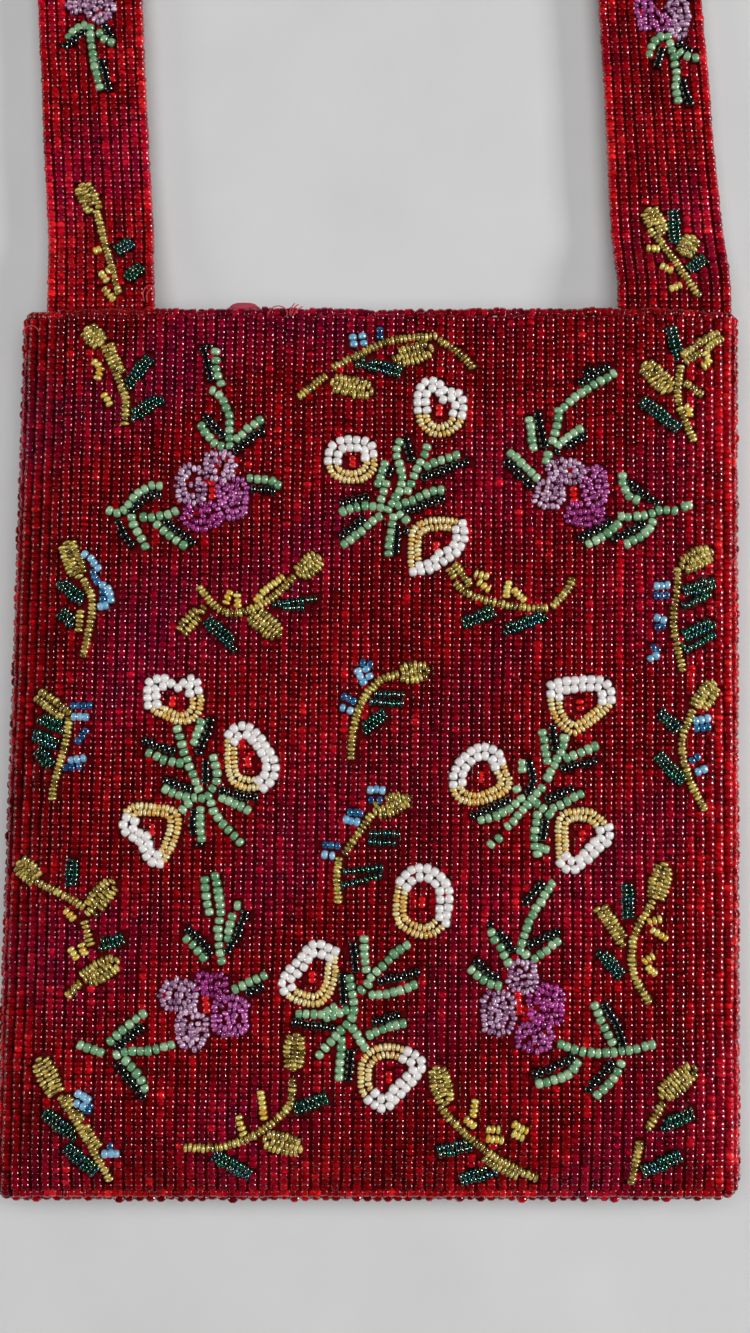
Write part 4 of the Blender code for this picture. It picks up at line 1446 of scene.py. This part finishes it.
def slab(name, grid, thickness, material):
    """A thin closed sheet, one side of which is a grid of points in rows of one length."""
    rows, columns = grid.shape[:2]
    along = np.gradient(grid, axis=0)
    across = np.gradient(grid, axis=1)
    normal = unit(np.cross(across, along))
    top = grid.reshape(-1, 3)
    under = (grid - normal * thickness).reshape(-1, 3)
    index = np.arange(rows * columns).reshape(rows, columns)
    a, b = index[:-1, :-1].ravel(), index[:-1, 1:].ravel()
    c, d = index[1:, 1:].ravel(), index[1:, :-1].ravel()
    faces = np.stack([a, b, c, d], axis=1).tolist()
    size = rows * columns
    faces += np.stack([d + size, c + size, b + size, a + size], axis=1).tolist()
    rim = np.concatenate([index[0, :], index[1:, -1], index[-1, -2::-1], index[-2:0:-1, 0]])
    following = np.roll(rim, -1)
    faces += np.stack([rim, rim + size, following + size, following], axis=1).tolist()
    mesh = bpy.data.meshes.new(name)
    mesh.from_pydata(np.concatenate([top, under]).tolist(), [], faces)
    return placed(mesh, material)


def threads(name, lines):
    """Thin round sewing threads along lines of points, as one mesh."""
    corners, faces = [], []
    turn = np.arange(THREAD_SIDES)[:, None] * 2 * math.pi / THREAD_SIDES
    for line in lines:
        line = softened(line, 3)
        along = unit(np.gradient(line, axis=0))
        side = unit(np.cross(along, np.array([0.05, 0.1, 1.0])))
        up = np.cross(side, along)
        faces += tube_faces(THREAD_SIDES, len(line), len(corners))
        for i, point in enumerate(line):
            corners += (point + THREAD_RADIUS * (np.cos(turn) * side[i] + np.sin(turn) * up[i])).tolist()
    mesh = bpy.data.meshes.new(name)
    mesh.from_pydata(corners, [], faces)
    return placed(mesh, THREAD)


def on_bag(piece, node):
    """Makes a piece move with the bag and stand for this node."""
    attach(piece, "bag")
    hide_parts(node)


def bend_at_hinge(piece):
    """Bakes a piece's place into its mesh; the span round the hinge is worked out but not used."""
    start, end = (0, HINGE[1] - BEND_HALF, 0), (0, HINGE[1] + BEND_HALF, 0)
    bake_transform(piece)
    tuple(start)
    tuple(end)


def on_strap(piece, node, bends=False):
    """Makes a piece stand for this node and move with the strap; a piece that crosses the hinge only has its
    place baked into its mesh.
    """
    if bends:
        bend_at_hinge(piece)
    else:
        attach(piece, "strap_loop")
    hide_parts(node)


def make_face(motifs):
    """The red strings of the face and sides, cut back round the sewn-on beads."""
    chance = np.random.default_rng(3)
    per_part = (2 * FACE_STRINGS + 1) / FACE_PARTS
    parts = {}
    for string in range(-EDGE_STRINGS, EDGE_STRINGS + 1):
        row = clear_of(face_string(string, chance), motifs)
        if abs(string) > FACE_STRINGS:
            key = "side_beads_left" if string < 0 else "side_beads_right"
        else:
            key = f"face_beads_{int((string + FACE_STRINGS) // per_part) + 1}"
        parts.setdefault(key, []).append(row)
    parts["side_beads_left"].append(laced_edge(-1, chance))
    parts["side_beads_right"].append(laced_edge(1, chance))
    parts["face_beads_3"].append(mouth_row(chance))
    for name, rows in parts.items():
        piece = beads_object(name, joined(rows), RED_BARREL, RED_GLASS)
        if name.startswith("side"):
            on_bag(piece, "side_seam_" + name.rsplit("_", 1)[1])
        else:
            on_bag(piece, "front_panel")
    foot = beads_object("foot_beads", foot_rows(chance), RED_BARREL, RED_GLASS)
    on_bag(foot, "foot_seam")


def make_back():
    """The plain red strings of the back."""
    chance = np.random.default_rng(4)
    places = np.linspace(-BACK_HALF, BACK_HALF, 2 * BACK_STRINGS)
    for part, across in enumerate(np.array_split(places, BACK_PARTS)):
        row = joined([back_string(x, chance) for x in across])
        piece = beads_object(f"back_beads_{part + 1}", row, BACK_BARREL, RED_GLASS)
        on_bag(piece, "back_panel")


def make_strap(motifs):
    """The strap's red strings: two legs that cross the hinge, and the crown between them."""
    chance = np.random.default_rng(6)
    parts = {
        "strap_beads_left": (STRAP_START, LEG_LENGTH),
        "strap_beads_crown": (LEG_LENGTH, STRAP_LENGTH - LEG_LENGTH),
        "strap_beads_right": (STRAP_LENGTH - LEG_LENGTH, STRAP_LENGTH - STRAP_START),
    }
    for name, (low, high) in parts.items():
        rows = [strap_string(i, low, high, chance) for i in range(-STRAP_STRINGS, STRAP_STRINGS + 1)]
        row = clear_of(joined(rows), motifs)
        piece = beads_object(name, row, RED_BARREL, RED_GLASS)
        on_strap(piece, "strap", bends="crown" not in name)


def make_motifs(found):
    """One piece of sewn-on beads for each spray, sprig and violet."""
    slots = {"tulip": "tulip_beads", "violet": "violet_beads", "sprig": "gold_beads"}
    for name, row in found.items():
        slot = next(slots[word] for word in slots if word in name)
        glass = LINED_GLASS if slot == "gold_beads" else BIG_GLASS
        piece = beads_object(name + "_beads", row, BIG_BARREL, glass, SEWN_PAINTED_SHADE)
        if name.startswith("strap"):
            on_strap(piece, name, bends="sprig" in name and name.endswith("_1"))
        else:
            on_bag(piece, name)


def make_bag_cloths():
    """The cloths that the face's and the back's beads are sewn on."""
    half = FLAT_HALF + 0.7 * SIDE_ARC
    tall = STRAIGHT + 0.85 * FOOT_ARC
    across, down = np.meshgrid(np.linspace(-half, half, 110), np.linspace(CLOTH_START, tall, 80))
    grid = shell(across, down) - shell_outward(across, down) * CLOTH_BELOW
    front = slab("front_cloth", grid, CLOTH_THICKNESS, GROUND_CLOTH)
    on_bag(front, "front_panel")

    wide = np.linspace(-BACK_CLOTH_HALF, BACK_CLOTH_HALF, 60)
    across, up = np.meshgrid(wide, np.linspace(BACK_CLOTH_FOOT, MOUTH - CLOTH_START, 70))
    grid = np.stack([across + lean(up), up, np.full(across.shape, BACK_CLOTH_HEIGHT)], axis=-1)
    back = slab("back_cloth", grid, BACK_CLOTH_THICKNESS, GROUND_CLOTH)
    on_bag(back, "back_panel")


def make_linings():
    """The satin linings, the front one of which peeks out over the mouth at one place."""
    wide = np.linspace(-LINING_HALF, LINING_HALF, 150)
    across, up = np.meshgrid(wide, np.linspace(LINING_FOOT, LINING_MOUTH, 130))
    peek = np.exp(-(((across - PEEK_ACROSS) / PEEK_HALF) ** 4)) * smooth((up - PEEK_FROM) / PEEK_TALL)
    ripple = FRONT_RIPPLE * waves(across, up * 0.3, 0.012, 51)
    height = face_height(across, up) - BEAD_AND_CLOTH + ripple - FRONT_RIPPLE
    grid = np.stack([across + lean(up), up + PEEK_RISE * peek, height + PEEK_BULGE * peek], axis=-1)
    lining = slab("lining_front_satin", grid, SATIN_THICKNESS, SATIN)
    on_bag(lining, "lining_front")

    height = BACK_LINING_HEIGHT + BACK_RIPPLE * waves(across, up * 0.4, 0.014, 52)
    grid = np.stack([across + lean(up), up, height], axis=-1)
    back_lining = slab("lining_back_satin", grid, SATIN_THICKNESS, SATIN)
    on_bag(back_lining, "lining_back")


def make_strap_cloths():
    """The cloth under the strap's beads and the satin backing under that."""
    start = STRAP_START - STRAP_CLOTH_EXTRA
    along = np.linspace(start, STRAP_LENGTH - start, 360)
    wide = np.linspace(-STRAP_CLOTH_HALF, STRAP_CLOTH_HALF, 15)
    travel, offset = np.meshgrid(along, wide, indexing="ij")
    middle = strap_point(travel, offset)
    below = STRAP_HEIGHT - BACKING_GAP
    cloth = slab("strap_cloth", middle - [0, 0, CLOTH_BELOW], BACK_CLOTH_THICKNESS, GROUND_CLOTH)
    backing = slab("strap_satin_backing", middle - [0, 0, below], BACKING_THICKNESS, STRAP_SATIN)
    for sheet, slot, node in ((cloth, "wine_beads", "strap"), (backing, "satin", "strap_backing")):
        on_strap(sheet, node, bends=True)


def make_tabs():
    """The strap's sewn ends inside the mouth's corners."""
    for name, end, direction in (("left", 0.0, 1.0), ("right", STRAP_LENGTH, -1.0)):
        along = end + direction * np.linspace(TAB_START, TAB_END, 14)
        travel, offset = np.meshgrid(along, np.linspace(-TAB_HALF, TAB_HALF, 16), indexing="ij")
        grid = strap_point(travel, offset)
        grid[..., 2] = TAB_HEIGHT + 0.00008 * waves(grid[..., 0], grid[..., 1], 0.006, 61)
        if direction > 0:
            grid = grid[:, ::-1]
        tab = slab(f"strap_tab_{name}_cloth", grid, SATIN_THICKNESS, STRAP_SATIN)
        on_bag(tab, f"strap_tab_{name}")


# Loose threads, in the photograph's pixels
THREAD_LOOPS = {
    "mouth_threads": [
        [(268, 317), (272, 309), (281, 307), (288, 312), (287, 319)],
        [(291, 318), (294, 309), (299, 306)],
        [(293, 318), (298, 311), (303, 308)],
        [(290, 317), (291, 310), (295, 305)],
        [(24, 333), (29, 327), (37, 328), (40, 333)],
    ],
    "strap_threads": [
        [(145, 303), (143, 294), (149, 286), (156, 290), (155, 300)],
        [(148, 304), (147, 296), (152, 290)],
    ],
}


def make_threads():
    """A few loose ends and loops of the sewing thread."""
    for name, loops in THREAD_LOOPS.items():
        height = strap_middle if name.startswith("strap") else face_middle
        lines = []
        for pixels in loops:
            line = seen_at(pixels, height)
            line[:, 2] += THREAD_LIFT
            lines.append(line)
        piece = threads(name, lines)
        if name.startswith("strap"):
            bend_at_hinge(piece)
        else:
            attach(piece, "bag")


def make_floor():
    """A pale cloth to lie on, with a fine weave and soft folds."""
    line = np.linspace(-1, 1, FLOOR_POINTS)
    line = np.sign(line) * np.abs(line) ** FLOOR_CROWDING * FLOOR_SIZE / 2
    x, y = np.meshgrid(line, line)
    height = FLOOR_LEVEL + FLOOR_FOLDS * waves(x * 1.6, y * 0.35, 0.12, 71)
    floor = slab("floor", np.stack([x, y, height], axis=-1), FLOOR_THICKNESS, FLOOR_CLOTH)


# Light and camera

def area_light(name, place, width, height, power, glossy):
    """A soft rectangular lamp that faces the bag."""
    data = bpy.data.lights.new(name, "AREA")
    data.shape = "RECTANGLE"
    data.size = width
    data.size_y = height
    data.energy = power
    lamp = bpy.data.objects.new(name, data)
    bpy.context.scene.collection.objects.link(lamp)
    lamp.location = place
    from_bag = Vector(place) - Vector(LAMP_TARGET)
    lamp.rotation_euler = from_bag.to_track_quat("Z", "Y").to_euler()
    lamp.visible_glossy = glossy


def make_lights():
    """Two window-like lamps low on both sides, a wide soft one overhead, and a dim pale surround."""
    for lamp in LAMPS:
        area_light(*lamp)
    world = bpy.data.worlds.new("pale_room")
    bpy.context.scene.world = world
    make, link = node_tree(world)
    background = world.node_tree.nodes["Background"]
    background.inputs["Color"].default_value = (1.0, 0.99, 0.98, 1.0)
    level = make("MapRange", {"To Min": ROOM_LIGHT, "To Max": ROOM_SEEN})
    link(make("LightPath").outputs["Is Camera Ray"], level.inputs["Value"])
    link(level.outputs["Result"], background.inputs["Strength"])


def make_camera():
    """The photograph's view."""
    data = bpy.data.cameras.new("camera")
    data.lens = LENS
    data.sensor_width = SENSOR
    data.clip_start = 0.01
    camera = bpy.data.objects.new("camera", data)
    bpy.context.scene.collection.objects.link(camera)
    camera.location = CAMERA_PLACE
    camera.rotation_euler = (CAMERA_TILT, 0, 0)
    bpy.context.scene.camera = camera


make_camera()
make_lights()
make_floor()
FOUND = all_motifs()
ALL_SEWN = joined(list(FOUND.values()))
make_face(ALL_SEWN)
make_back()
make_strap(ALL_SEWN)
make_motifs(FOUND)
make_bag_cloths()
make_linings()
make_strap_cloths()
make_tabs()
make_threads()

bpy.context.scene.view_settings.view_transform = "Standard"
